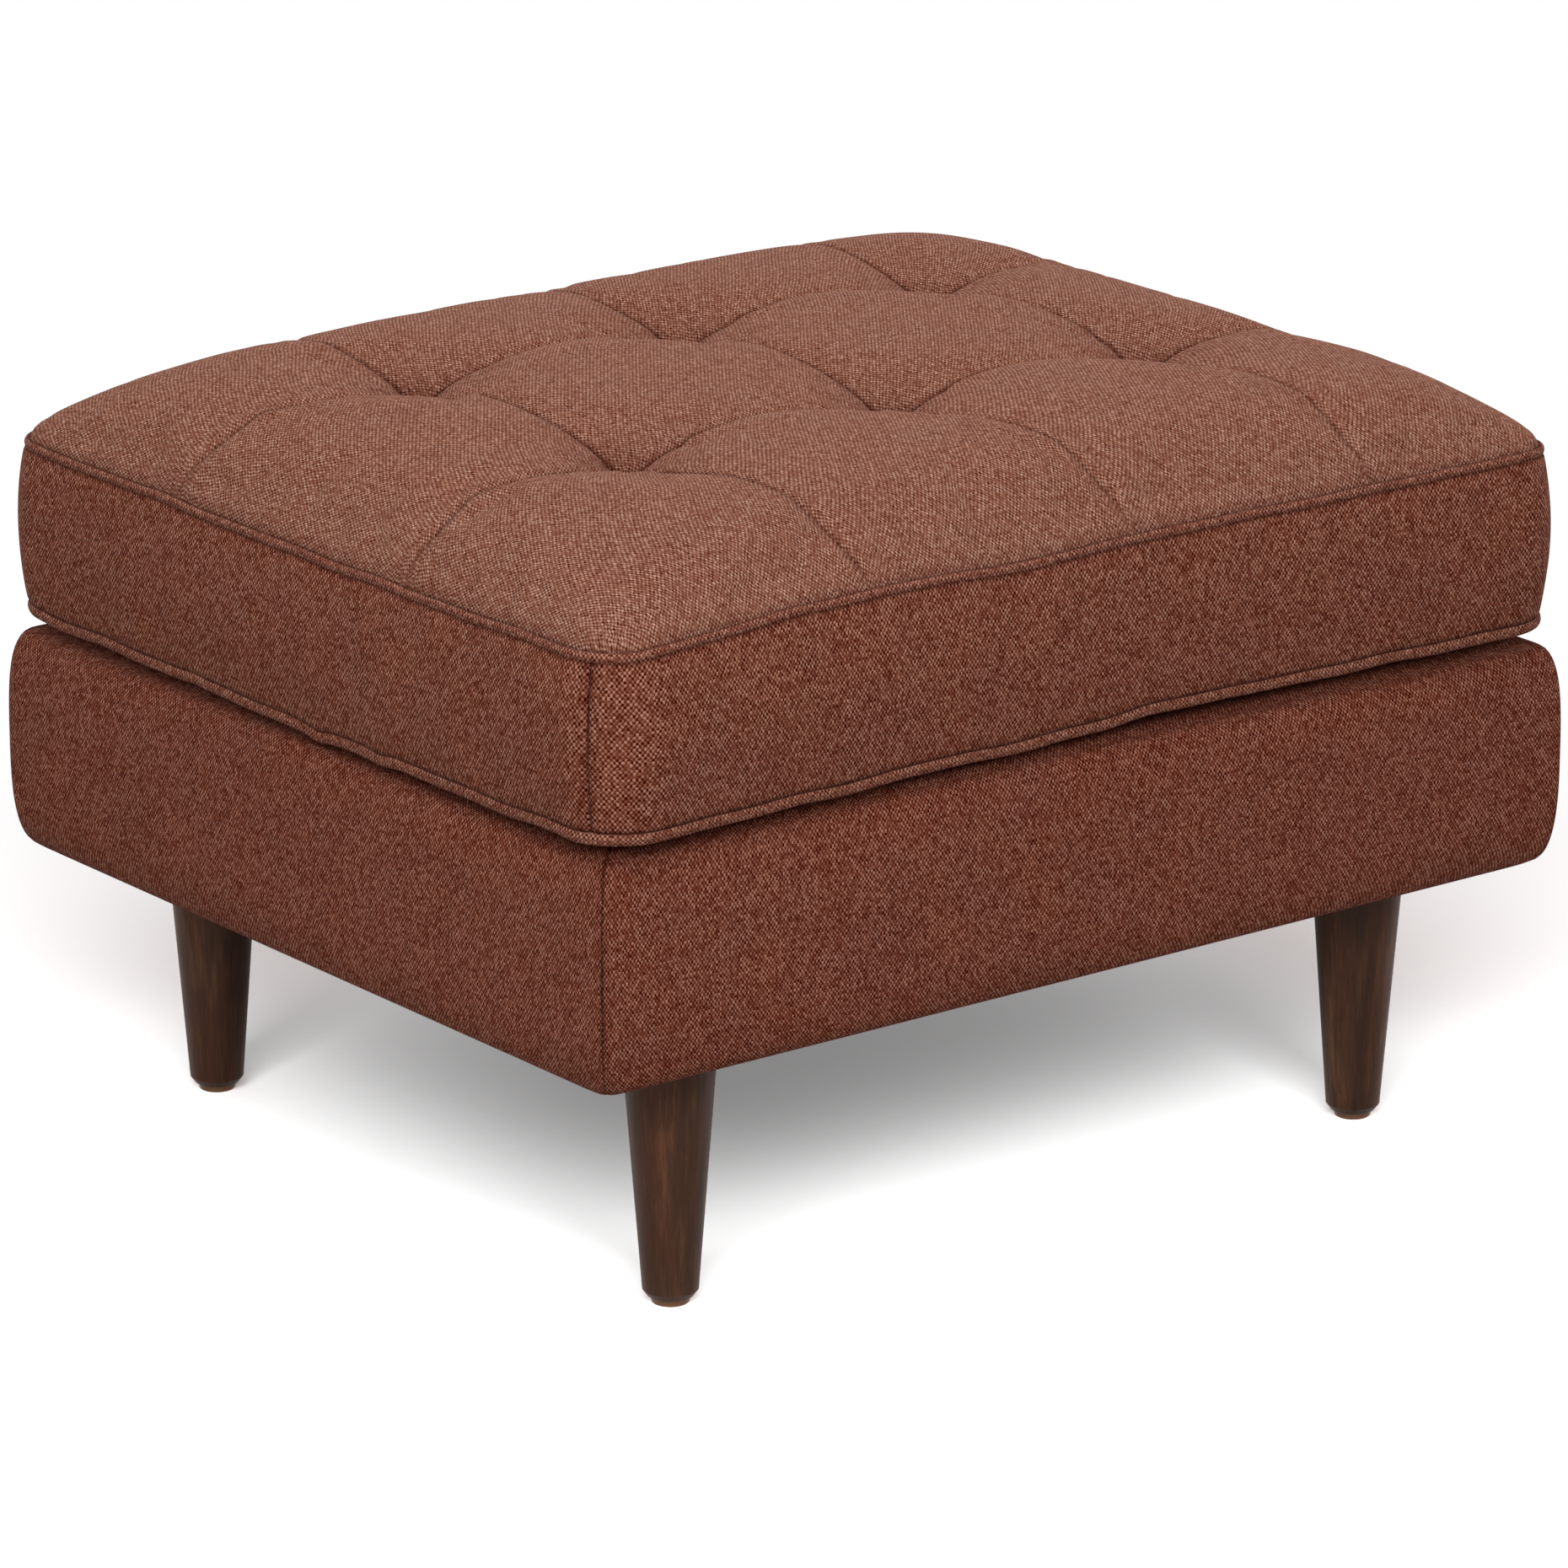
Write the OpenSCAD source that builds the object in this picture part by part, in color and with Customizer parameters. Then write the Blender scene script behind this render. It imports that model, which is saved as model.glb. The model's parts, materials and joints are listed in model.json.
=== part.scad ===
// Upholstered footstool: a tufted box cushion on a padded, sprung base with four turned legs.
// Millimetres, +Z up. The origin is on the floor under the centre; the front faces -Y.

/* [Base] */
// Width of the base along its bottom edge
base_w = 728; // [660:1:820]
// Depth of the base along its bottom edge
base_d = 608; // [560:1:700]
// Height of the covered base, from its underside to the deck
base_h = 150; // [136:1:180]
// How far the padded sides swell out past the bottom edge
side_swell = 17; // [10:1:24]
// Thickness of the covering cloth
cloth_t = 1.5; // [1:0.1:2]
// Width of the strip of cover that is turned over onto the deck
top_turn = 62; // [45:1:90]
// Thickness of the black cloth under the base
dust_t = 0.6; // [0.4:0.1:1]
// Distance from the base's bottom edge to the edge of the black cloth
dust_inset = 12; // [6:1:20]

/* [Frame] */
// Thickness of the four rails
rail_t = 22; // [19:1:28]
// Padding left between a rail and the bottom edge of the cover
rail_pad = 6; // [4:0.5:10]
// Depth of the deck padding and springs above the rails
deck_drop = 29.6; // [27:0.1:36]
// Length of a corner block along the front or back rail
block_x = 140; // [125:1:160]
// Length of a corner block along a side rail
block_y = 105; // [95:1:125]
// Thickness of a corner block
block_t = 30; // [26:1:36]
// Width left at the blunt ends of a corner block
block_blunt = 16; // [10:1:22]
// Width of the stretcher under the middle
stretcher_w = 70; // [50:1:100]
// Thickness of the stretcher
stretcher_t = 20; // [16:1:26]
// Diameter of the wood screws
screw_d = 4.5; // [4:0.1:5.5]
// Length of the screws in the rail corners
corner_screw_l = 60; // [50:1:70]
// Length of the screws into the corner blocks
block_screw_l = 48; // [40:1:50]

/* [Springs] */
// Number of zigzag springs
spring_count = 5; // [4:1:6]
// Distance between springs
spring_pitch = 120; // [100:1:130]
// Diameter of the spring wire
wire_d = 3.6; // [3:0.1:4]
// Number of crossbars in a spring
spring_bars = 19; // [15:2:21]
// Width of a spring between the centres of its bends
spring_w = 26; // [20:1:36]
// Rise of the springs at the middle
spring_rise = 6; // [4:0.5:8]
// Thickness of the clip steel
clip_t = 1.2; // [1:0.1:1.6]
// Width of a spring clip
clip_w = 18; // [14:1:20]
// Diameter of the tie wires that join the springs
tie_d = 4; // [3:0.1:4.4]
// Distance of each tie wire from the middle
tie_y = 95; // [70:1:130]
// Thickness of the felted sheet over the springs
sheet_t = 1.2; // [0.8:0.1:2]

/* [Legs] */
// Height of the base's underside above the floor
leg_h = 168; // [140:1:200]
// Diameter of a leg at the top
leg_top_d = 59; // [50:0.5:62]
// Diameter of a leg just above its bottom chamfer
leg_bottom_d = 34.6; // [28:0.2:42]
// Height of the bottom chamfer
leg_chamfer = 4; // [2:0.5:6]
// Distance from a side edge of the base to the leg's axis
leg_inset_x = 89.5; // [80:0.5:110]
// Distance from the front or back edge of the base to the leg's axis
leg_inset_y = 59; // [59:0.5:70]
// Diameter of the hanger bolt
bolt_d = 8; // [6:0.5:10]
// Depth of the hanger bolt in the leg
bolt_depth = 45; // [35:1:60]
// Diameter of a glide
glide_d = 23.4; // [20:0.2:27]
// Height of a glide
glide_h = 5; // [4:0.5:8]

/* [Cushion] */
// Width of the cushion between its welts
cushion_w = 752; // [700:1:800]
// Depth of the cushion between its welts
cushion_d = 644; // [600:1:700]
// Radius of the cushion's corners, seen from above
cushion_r = 40; // [30:1:60]
// Height of the side band between the welts' centres
band_h = 106; // [92:1:125]
// How far the sides are drawn in between the corners
draw_in = 12; // [4:0.5:15]
// How far the side band bulges outwards
band_bulge = 6; // [2:0.5:9]
// Diameter of the welts
welt_d = 7.6; // [6:0.2:9]
// Sag of the cushion's underside below the bottom welt's centre
under_sag = 12; // [9:0.5:16]
// Thickness of the foam core
foam_t = 100; // [85:1:104]
// Thickness of the soft crown foam on the core
crown_foam_t = 22; // [12:1:28]
// Distance from the welt to the edge of the crown foam
crown_foam_inset = 60; // [50:1:80]

/* [Tufting] */
// Distance between tufts across the width
tuft_pitch_x = 205; // [180:1:220]
// Distance between the two rows of tufts
tuft_pitch_y = 218; // [190:1:235]
// Height of the crown above the top welt's centre
crown_h = 62.5; // [48:0.5:72]
// Depth of the sewn seams below the crown
seam_dip = 7; // [3:0.5:10]
// Further depth of a tuft below the seams
tuft_dip = 22; // [12:1:26]
// Reach of a tuft's hollow
tuft_reach = 34; // [24:1:44]
// Diameter of the tuft twine
twine_d = 2.4; // [1.6:0.2:3]
// Diameter of the pads that hold the twine under the foam
tuft_pad_d = 28; // [20:1:36]

/* [Zip] */
// Length of the zip along the back
zip_l = 500; // [440:1:520]
// Opening between the two back strips where the zip shows
zip_gap = 10; // [9:0.5:14]
// Width of the row of teeth on one side
teeth_w = 2.4; // [2:0.1:2.6]
// Thickness of the teeth
teeth_t = 2.4; // [2:0.1:3]
// Width of the zip's tape on one side
tape_w = 14; // [12:0.5:18]
// Length of the slider
slider_l = 11; // [9:0.5:14]
// Length of the pull beyond its pivot
pull_l = 24; // [18:1:32]

/* [Fits] */
// Clearance between soft pieces
soft_gap = 0.3; // [0.25:0.05:0.4]
// Clearance of a screw, nail or bolt in its hole, on the diameter
hole_fit = 0.2; // [0.1:0.05:0.4]
// Clearance of moving pieces of the zip
zip_fit = 0.3; // [0.2:0.05:0.4]

/* [Hidden] */

$fn = 48;

// Heights of the base, from the floor up
cover_z0 = leg_h + dust_t;
rail_z0 = cover_z0 + cloth_t;
deck_z = cover_z0 + base_h;
pad_z1 = deck_z - cloth_t;
rail_z1 = deck_z - deck_drop;

// Half sizes of the frame
rail_x = base_w / 2 - rail_pad;
rail_y = base_d / 2 - rail_pad;
inner_x = rail_x - rail_t;
inner_y = rail_y - rail_t;

// Power of the curve that gives the padded sides their round edges and fuller middle
swell_power = 3;
// Steps in that curve
swell_steps = 14;
// More than any size across, for cutting
far = 2 * (base_w + cushion_w);

// Legs and their fastening
leg_x = base_w / 2 - leg_inset_x;
leg_y = base_d / 2 - leg_inset_y;
chamfer_in = 3;
bolt_hole_d = bolt_d + hole_fit;
tee_barrel_d = bolt_d + 3;
tee_barrel_l = 12;
tee_flange_d = 22;
tee_flange_t = 1.5;
bolt_end = 3;
block_top = cover_z0 + block_t;
glide_recess_d = 9;
glide_recess_h = 1.5;
nail_head_d = 7;
nail_head_t = 1;
glide_nail_d = 2.6;
glide_nail_l = 20;

// Screws of the frame
head_d = 2 * screw_d;
head_h = screw_d / 2;
screw_edge = 28;

// Springs, their clips and the sheet on them
wire_r = wire_d / 2;
clip_gap = 0.15;
bar_y = rail_y - 14;
wire_z = rail_z1 + clip_t + clip_gap + wire_r;
clip_nail_y = rail_y - 5;
clip_nail_dx = 5;
clip_nail_d = 1.8;
clip_nail_head_d = 4;
clip_nail_l = 16;
bar_pitch = 2 * bar_y / (spring_bars - 1);
wire_sides = 6;
tie_z = wire_z + spring_rise * (1 - pow(tie_y / bar_y, 2)) - wire_r - tie_d / 2 - clip_gap;
sheet_z0 = wire_z + wire_r + clip_gap + clip_t + clip_gap;
sheet_z1 = wire_z + spring_rise + wire_r + soft_gap;
sheet_steps = 12;

// Heights of the cushion; its underside rests on the deck
welt_r = welt_d / 2;
under_z = deck_z + soft_gap;
low_welt_z = under_z + under_sag;
top_welt_z = low_welt_z + band_h;
band_z0 = low_welt_z + welt_r + soft_gap;
band_z1 = top_welt_z - welt_r - soft_gap;
band_zc = (band_z0 + band_z1) / 2;
half_w = cushion_w / 2;
half_d = cushion_d / 2;
panel_w = half_w - welt_r - soft_gap;
panel_d = half_d - welt_r - soft_gap;
panel_r = cushion_r - welt_r - soft_gap;

// The back of the cushion is straight behind the zip
back_flat = zip_l / 2 + 8;
back_y = half_d - draw_in;

// Grid lines of the tufted top, as shares of the way from tuft to tuft and from tuft to edge
inner_shares = [0.12, 0.31, 0.5, 0.69, 0.88];
edge_shares = [0.11, 0.3, 0.52, 0.74, 0.9];
// Powers that keep the top full and the underside flat until close to the welts
crown_power = 6;
under_power = 12;
seam_reach = 15;

tufts = [for (ix = [-1, 0, 1], iy = [-0.5, 0.5]) [ix * tuft_pitch_x, iy * tuft_pitch_y]];
tuft_lines_x = [-tuft_pitch_x, 0, tuft_pitch_x];
tuft_lines_y = [-tuft_pitch_y / 2, tuft_pitch_y / 2];

// Foam inside the cushion
foam_z0 = under_z + cloth_t + soft_gap;
foam_z1 = foam_z0 + foam_t;
crown_foam_z1 = foam_z1 + crown_foam_t;
foam_x = half_w - draw_in - cloth_t - soft_gap;
foam_y = half_d - draw_in - cloth_t - 6;
foam_r = cushion_r;
twine_hole_d = twine_d + 1;
tuft_pad_t = 1;

// Zip
zip_z = band_zc;
tape_t = 0.8;
tape_y1 = back_y + band_out(2 * tape_w / (band_z1 - band_z0)) - cloth_t - 0.15;
tape_yc = tape_y1 - tape_t / 2;
teeth_gap = 1.4;
teeth_z = teeth_gap / 2 + teeth_w;
tooth_pitch = 10;
stop_l = 4;
plate_t = 1.2;
plate_y0 = tape_yc + teeth_t / 2 + zip_fit;
plate_y1 = plate_y0 + plate_t;
plate_h = 2 * teeth_z + 2.2;
slider_x = zip_l / 2 - stop_l - slider_l / 2 - 1;
web_t = teeth_gap - 2 * zip_fit;
bail_y = plate_y1 + 1.2;
bail_t = 0.8;
bail_w = 2;
bail_l = 7;
pivot_d = 1.2;
pull_arm = 1;
pull_w = 6;
pull_hole_d = 2.6;

// Cloth and wood colours, as in the photograph
rust = [0.52, 0.28, 0.22];
walnut = [0.26, 0.16, 0.12];
plywood = [0.80, 0.66, 0.46];
steel = [0.62, 0.63, 0.65];
foam_white = [0.93, 0.91, 0.82];
felt_grey = [0.55, 0.55, 0.55];
black = [0.10, 0.10, 0.10];
amber = [0.38, 0.22, 0.07];

// Profiles of the padded base

// Right-hand outline of a padded side: full in the middle, rounded at both edges
function swell_side(half, out, z0, z1) = [
    for (i = [0:swell_steps])
        let (
            turn = -90 + 180 * i / swell_steps,
            up = sign(sin(turn)) * pow(abs(sin(turn)), 2 / swell_power),
            side = pow(abs(cos(turn)), 2 / swell_power)
        )
        [half + out * side, (z0 + z1) / 2 + up * (z1 - z0) / 2]
];

function mirrored(points) = [for (i = [len(points) - 1:-1:0]) [-points[i][0], points[i][1]]];

module swell_profile(half, out, z0, z1) {
    side = swell_side(half, out, z0, z1);
    polygon(concat(side, mirrored(side)));
}

// A box whose four sides swell: two profiles crossed, so the corners are mitred
module padded_box(half_x, half_y, out, z0, z1) {
    intersection() {
        rotate([90, 0, 0]) linear_extrude(far, center = true) swell_profile(half_x, out, z0, z1);
        rotate([90, 0, 90]) linear_extrude(far, center = true) swell_profile(half_y, out, z0, z1);
    }
}

// A plain box by its half sizes and its two heights
module slab(half_x, half_y, z0, z1) {
    translate([-half_x, -half_y, z0]) cube([2 * half_x, 2 * half_y, z1 - z0]);
}

// The wedge of one side, cut at 45 degrees through the corners of the base
module front_wedge() {
    reach = 60;
    x = base_w / 2;
    y = base_d / 2;
    linear_extrude(deck_z + reach)
        polygon([[-x - reach, -y - reach], [x + reach, -y - reach], [x - y, 0], [y - x, 0]]);
}

module left_wedge() {
    reach = 60;
    x = base_w / 2;
    y = base_d / 2;
    linear_extrude(deck_z + reach)
        polygon([[-x - reach, y + reach], [-x - reach, -y - reach], [y - x, 0]]);
}

module cover_shell() {
    difference() {
        padded_box(base_w / 2, base_d / 2, side_swell, cover_z0, deck_z);
        padded_box(base_w / 2, base_d / 2, side_swell - cloth_t, rail_z0, pad_z1);
        slab(base_w / 2 - top_turn, base_d / 2 - top_turn, pad_z1 - cloth_t, deck_z + cloth_t);
        slab(inner_x, inner_y, cover_z0 - cloth_t, rail_z0 + cloth_t);
    }
}

module padding_shell() {
    difference() {
        padded_box(base_w / 2, base_d / 2, side_swell - cloth_t, rail_z0, pad_z1);
        slab(rail_x, rail_y, rail_z0 - cloth_t, pad_z1 + cloth_t);
    }
}

// Cover and padding, one panel for each side

module cover_front() { color(rust) intersection() { cover_shell(); front_wedge(); } }
module cover_back() { color(rust) mirror([0, 1, 0]) intersection() { cover_shell(); front_wedge(); } }
module cover_left() { color(rust) intersection() { cover_shell(); left_wedge(); } }
module cover_right() { color(rust) mirror([1, 0, 0]) intersection() { cover_shell(); left_wedge(); } }

module padding_front() {
    color(foam_white) intersection() { padding_shell(); front_wedge(); }
}
module padding_back() {
    color(foam_white) mirror([0, 1, 0]) intersection() { padding_shell(); front_wedge(); }
}
module padding_left() {
    color(foam_white) intersection() { padding_shell(); left_wedge(); }
}
module padding_right() {
    color(foam_white) mirror([1, 0, 0]) intersection() { padding_shell(); left_wedge(); }
}

module dust_cover() {
    color(black) difference() {
        slab(base_w / 2 - dust_inset, base_d / 2 - dust_inset, leg_h, cover_z0);
        at_legs() translate([0, 0, leg_h - 1]) cylinder(d = bolt_hole_d, h = dust_t + 2);
    }
}

// Frame

module at_legs() {
    for (sx = [-1, 1], sy = [-1, 1]) translate([sx * leg_x, sy * leg_y, 0]) children();
}

// A countersunk screw lying along +X from the origin, made larger all round by grow
module wood_screw(l, grow) {
    rotate([0, 90, 0]) {
        cylinder(d1 = head_d + grow, d2 = screw_d + grow, h = head_h);
        cylinder(d = screw_d + grow, h = l + grow);
    }
}

// Screws through the front and back rails into the ends of the side rails
module corner_screws(grow) {
    for (sx = [-1, 1], sy = [-1, 1], z = [rail_z0 + screw_edge, rail_z1 - screw_edge])
        translate([sx * (rail_x - rail_t / 2), sy * rail_y, z])
            rotate([0, 0, -90 * sy]) wood_screw(corner_screw_l, grow);
}

// Screws through the rails into the corner blocks
module block_screws(grow) {
    z = cover_z0 + block_t / 2;
    for (sx = [-1, 1], sy = [-1, 1]) {
        translate([sx * (inner_x - 0.75 * block_x), sy * rail_y, z])
            rotate([0, 0, -90 * sy]) wood_screw(block_screw_l, grow);
        translate([sx * rail_x, sy * (inner_y - 0.7 * block_y), z])
            rotate([0, 0, 90 + 90 * sx]) wood_screw(block_screw_l, grow);
    }
}

module frame_screws() {
    color(steel) {
        corner_screws(0);
        block_screws(0);
    }
}

module front_rail() {
    color(plywood) difference() {
        translate([-rail_x, -rail_y, rail_z0]) cube([2 * rail_x, rail_t, rail_z1 - rail_z0]);
        corner_screws(hole_fit);
        block_screws(hole_fit);
        clip_nail_set(hole_fit);
    }
}

module back_rail() {
    color(plywood) difference() {
        translate([-rail_x, inner_y, rail_z0]) cube([2 * rail_x, rail_t, rail_z1 - rail_z0]);
        corner_screws(hole_fit);
        block_screws(hole_fit);
        clip_nail_set(hole_fit);
    }
}

module side_rail() {
    difference() {
        translate([-rail_x, -inner_y, rail_z0]) cube([rail_t, 2 * inner_y, rail_z1 - rail_z0]);
        corner_screws(hole_fit);
        block_screws(hole_fit);
        clip_nail_set(hole_fit);
    }
}

module left_rail() { color(plywood) side_rail(); }
module right_rail() { color(plywood) mirror([1, 0, 0]) side_rail(); }

module centre_stretcher() {
    color(plywood) slab(stretcher_w / 2, inner_y, rail_z0, rail_z0 + stretcher_t);
}

// A corner block in the corner of +X and +Y, with the leg's bolt hole
module corner_block() {
    difference() {
        translate([inner_x, inner_y, cover_z0]) linear_extrude(block_t) polygon([
            [0, 0], [-block_x, 0], [-block_x, -block_blunt], [-block_blunt, -block_y], [0, -block_y]
        ]);
        translate([leg_x, leg_y, cover_z0 - 1]) {
            cylinder(d = bolt_hole_d, h = block_t + 2);
            translate([0, 0, block_t + 1 - tee_barrel_l])
                cylinder(d = tee_barrel_d + hole_fit, h = tee_barrel_l + 1);
        }
        block_screws(hole_fit);
    }
}

module corner_blocks() {
    color(plywood)
        for (mx = [0, 1], my = [0, 1]) mirror([mx, 0, 0]) mirror([0, my, 0]) corner_block();
}

module tee_nuts() {
    color(steel) at_legs() difference() {
        union() {
            translate([0, 0, block_top]) cylinder(d = tee_flange_d, h = tee_flange_t);
            translate([0, 0, block_top - tee_barrel_l + hole_fit])
                cylinder(d = tee_barrel_d, h = tee_barrel_l);
        }
        translate([0, 0, block_top - tee_barrel_l - 1])
            cylinder(d = bolt_hole_d, h = tee_barrel_l + tee_flange_t + 2);
    }
}

module hanger_bolts() {
    color(steel) at_legs() translate([0, 0, leg_h - bolt_depth])
        cylinder(d = bolt_d, h = bolt_depth + dust_t + block_t + tee_flange_t + bolt_end);
}

// Legs

// A turned leg, straight in its taper, with a small chamfer at the foot
module leg() {
    difference() {
        rotate_extrude() polygon([
            [0, glide_h], [leg_bottom_d / 2 - chamfer_in, glide_h],
            [leg_bottom_d / 2, glide_h + leg_chamfer], [leg_top_d / 2, leg_h], [0, leg_h]
        ]);
        translate([0, 0, leg_h - bolt_depth - hole_fit])
            cylinder(d = bolt_hole_d, h = bolt_depth + 1);
        translate([0, 0, glide_h - 1])
            cylinder(d = glide_nail_d + hole_fit, h = glide_nail_l);
    }
}

module leg_front_left() { color(walnut) translate([-leg_x, -leg_y, 0]) leg(); }
module leg_front_right() { color(walnut) translate([leg_x, -leg_y, 0]) leg(); }
module leg_back_left() { color(walnut) translate([-leg_x, leg_y, 0]) leg(); }
module leg_back_right() { color(walnut) translate([leg_x, leg_y, 0]) leg(); }

module foot_glides() {
    edge = 1;
    color(amber) at_legs() difference() {
        rotate_extrude() polygon([
            [0, 0], [glide_d / 2 - edge, 0], [glide_d / 2, edge], [glide_d / 2, glide_h], [0, glide_h]
        ]);
        translate([0, 0, -1]) cylinder(d = glide_recess_d, h = glide_recess_h + 1);
        cylinder(d = glide_nail_d + hole_fit, h = glide_h + 1);
    }
}

module glide_nails() {
    color(steel) at_legs() translate([0, 0, glide_recess_h - nail_head_t]) {
        cylinder(d = nail_head_d, h = nail_head_t);
        cylinder(d = glide_nail_d, h = glide_nail_l);
    }
}

// Springs

spring_xs = [for (i = [0:spring_count - 1]) (i - (spring_count - 1) / 2) * spring_pitch];

function spring_height(y) = wire_z + spring_rise * (1 - pow(y / bar_y, 2));

// Centre line of one spring: crossbars joined by round bends, left and right in turn
function spring_path() = [
    for (bar = [0:spring_bars - 1])
        let (
            side = bar % 2 == 0 ? 1 : -1,
            y = -bar_y + bar * bar_pitch,
            bend = bar_pitch / 2
        )
        each concat(
            [[-side * spring_w / 2, y, spring_height(y)]],
            bar == spring_bars - 1 ? [[side * spring_w / 2, y, spring_height(y)]] :
                [for (turn = [0, 60, 120])
                    let (yb = y + bend * (1 - cos(turn)))
                    [side * (spring_w / 2 + bend * sin(turn)), yb, spring_height(yb)]]
        )
];

function unit(v) = v / norm(v);

// One tube along an open path; the rings stand in each corner's bisecting plane
module tube(path, r, sides) {
    last = len(path) - 1;
    up = [0, 0, 1];
    rings = [
        for (i = [0:last])
            let (
                before = unit(path[max(i, 1)] - path[max(i, 1) - 1]),
                after = unit(path[min(i, last - 1) + 1] - path[min(i, last - 1)]),
                along = unit(before + after),
                across = unit(cross(up, along)),
                wide = 1 / max(0.5, norm(before + after) / 2)
            )
            for (k = [0:sides - 1])
                path[i] + r * (cos(360 * k / sides) * wide * across
                    + sin(360 * k / sides) * cross(along, across))
    ];
    skin = [
        for (i = [0:last - 1], k = [0:sides - 1])
            let (a = i * sides + k, b = i * sides + (k + 1) % sides)
            each [[a, a + sides, b + sides], [a, b + sides, b]]
    ];
    ends = [[for (k = [0:sides - 1]) k], [for (k = [sides - 1:-1:0]) last * sides + k]];
    polyhedron(points = rings, faces = concat(skin, ends), convexity = 10);
}

module sinuous_springs() {
    color(steel) for (x = spring_xs) translate([x, 0, 0]) tube(spring_path(), wire_r, wire_sides);
}

echo(least_gap_in_a_spring = bar_pitch - wire_d);

// Steel strap curled over a bar: the origin is on the rail's top under the bar, +X is outwards
module clip_profile(bar_r, base_l, lift) {
    r = bar_r + clip_gap;
    zc = lift + r;
    translate([0, lift - clip_t]) square([base_l, clip_t]);
    difference() {
        translate([0, zc]) circle(r = r + clip_t);
        translate([0, zc]) circle(r = r);
        translate([-2 * r - clip_t, zc - 2 * r]) square([2 * r + clip_t, 4 * r]);
    }
    translate([-5, lift + 2 * r]) square([5, clip_t]);
}

module spring_clips() {
    color(steel) difference() {
        for (x = spring_xs, side = [-1, 1])
            translate([x + side * clip_w / 2, side * bar_y, rail_z1]) rotate([90, 0, side * 90])
                translate([0, 0, -clip_w]) linear_extrude(clip_w)
                    clip_profile(wire_r, rail_y - bar_y - 1, clip_t);
        clip_nail_set(hole_fit);
    }
}

tie_lift = tie_z - tie_d / 2 - clip_gap - rail_z1;
tie_bar_x = rail_x - 14;

module tie_clips() {
    color(steel) difference() {
        for (y = [-tie_y, tie_y], side = [-1, 1])
            translate([side * tie_bar_x, y - side * clip_w / 2, rail_z1]) rotate([90, 0, 90 - 90 * side])
                translate([0, 0, -clip_w]) linear_extrude(clip_w) {
                    clip_profile(tie_d / 2, rail_x - tie_bar_x - 1, tie_lift);
                    square([rail_x - tie_bar_x - 1, tie_lift]);
                }
        clip_nail_set(hole_fit);
    }
}

// Tie wires run over the side rails, with a hooked end in each clip
module tie_wires() {
    hook = clip_w / 2;
    color(steel) for (y = [-tie_y, tie_y]) {
        translate([-tie_bar_x, y, tie_z]) rotate([0, 90, 0]) cylinder(d = tie_d, h = 2 * tie_bar_x);
        for (side = [-1, 1]) translate([side * tie_bar_x, y, tie_z])
            rotate([90, 0, 0]) cylinder(d = tie_d, h = clip_w, center = true);
    }
}

// Two nails through each clip: on the front and back rails, then on the side rails
clip_nail_tops = concat(
    [for (x = spring_xs, dx = [-1, 1], side = [-1, 1])
        [x + dx * clip_nail_dx, side * clip_nail_y, rail_z1 + clip_t]],
    [for (y = [-tie_y, tie_y], dy = [-1, 1], side = [-1, 1])
        [side * (rail_x - 5), y + dy * clip_nail_dx, rail_z1 + tie_lift]]
);

// The nails' shanks, made larger by grow for their holes
module clip_nail_set(grow) {
    for (p = clip_nail_tops) translate([p[0], p[1], p[2] - clip_nail_l])
        cylinder(d = clip_nail_d + grow, h = clip_nail_l + grow);
}

module clip_nails() {
    color(steel) {
        clip_nail_set(0);
        for (p = clip_nail_tops) translate(p) cylinder(d = clip_nail_head_d, h = 0.8);
    }
}

// Height of the sheet's underside over the springs
function sheet_height(y) = sheet_z0 + (sheet_z1 - sheet_z0) * (1 - pow(y / rail_y, 2));

function sheet_line(lift) = [
    for (i = [0:sheet_steps]) let (y = -rail_y + 2 * rail_y * i / sheet_steps)
        [y, sheet_height(y) + lift]
];

function turned_back(points) = [for (i = [len(points) - 1:-1:0]) points[i]];

module along_x(half_l) {
    rotate([90, 0, 90]) linear_extrude(2 * half_l, center = true) children();
}

module spring_cover() {
    color(felt_grey) along_x(rail_x) polygon(concat(sheet_line(0), turned_back(sheet_line(sheet_t))));
}

module deck_padding() {
    color(foam_white) along_x(rail_x)
        polygon(concat(sheet_line(sheet_t), [[rail_y, pad_z1], [-rail_y, pad_z1]]));
}

module deck_cloth() {
    color(black) slab(base_w / 2 - top_turn, base_d / 2 - top_turn, pad_z1, deck_z);
}

// Plan of the cushion: a rounded rectangle whose sides are drawn in between the corners

function ease(t) = let (c = min(1, max(0, t))) c * c * (3 - 2 * c);

// Bends a point of the plain rectangle into the rounded one
function rounded(x, y, w, d, r) =
    let (
        p = max(0, (abs(x) - (w - r)) / r),
        q = max(0, (abs(y) - (d - r)) / r),
        bend_x = p * sqrt(1 - q * q / 2),
        bend_y = q * sqrt(1 - p * p / 2)
    )
    [p > 0 ? sign(x) * (w - r + r * bend_x) : x, q > 0 ? sign(y) * (d - r + r * bend_y) : y];

// Pulls the sides in; the back stays straight along the zip
function drawn(p, w, d) =
    let (
        near_x = pow(min(1, abs(p[0]) / w), 4),
        near_y = pow(min(1, abs(p[1]) / d), 4),
        along_side = 1 - pow(p[1] / d, 2),
        along_front = 1 - pow(p[0] / w, 2),
        past_zip = ease((abs(p[0]) - back_flat) / (half_w - 1.2 * cushion_r - back_flat)),
        pull_y = p[1] > 0 ? 1 - past_zip * (1 - along_front) : along_front
    )
    [p[0] - sign(p[0]) * draw_in * near_x * along_side,
     p[1] - sign(p[1]) * draw_in * near_y * pull_y];

function plan(x, y, w, d, r) = drawn(rounded(x, y, w, d, r), w, d);

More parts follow.
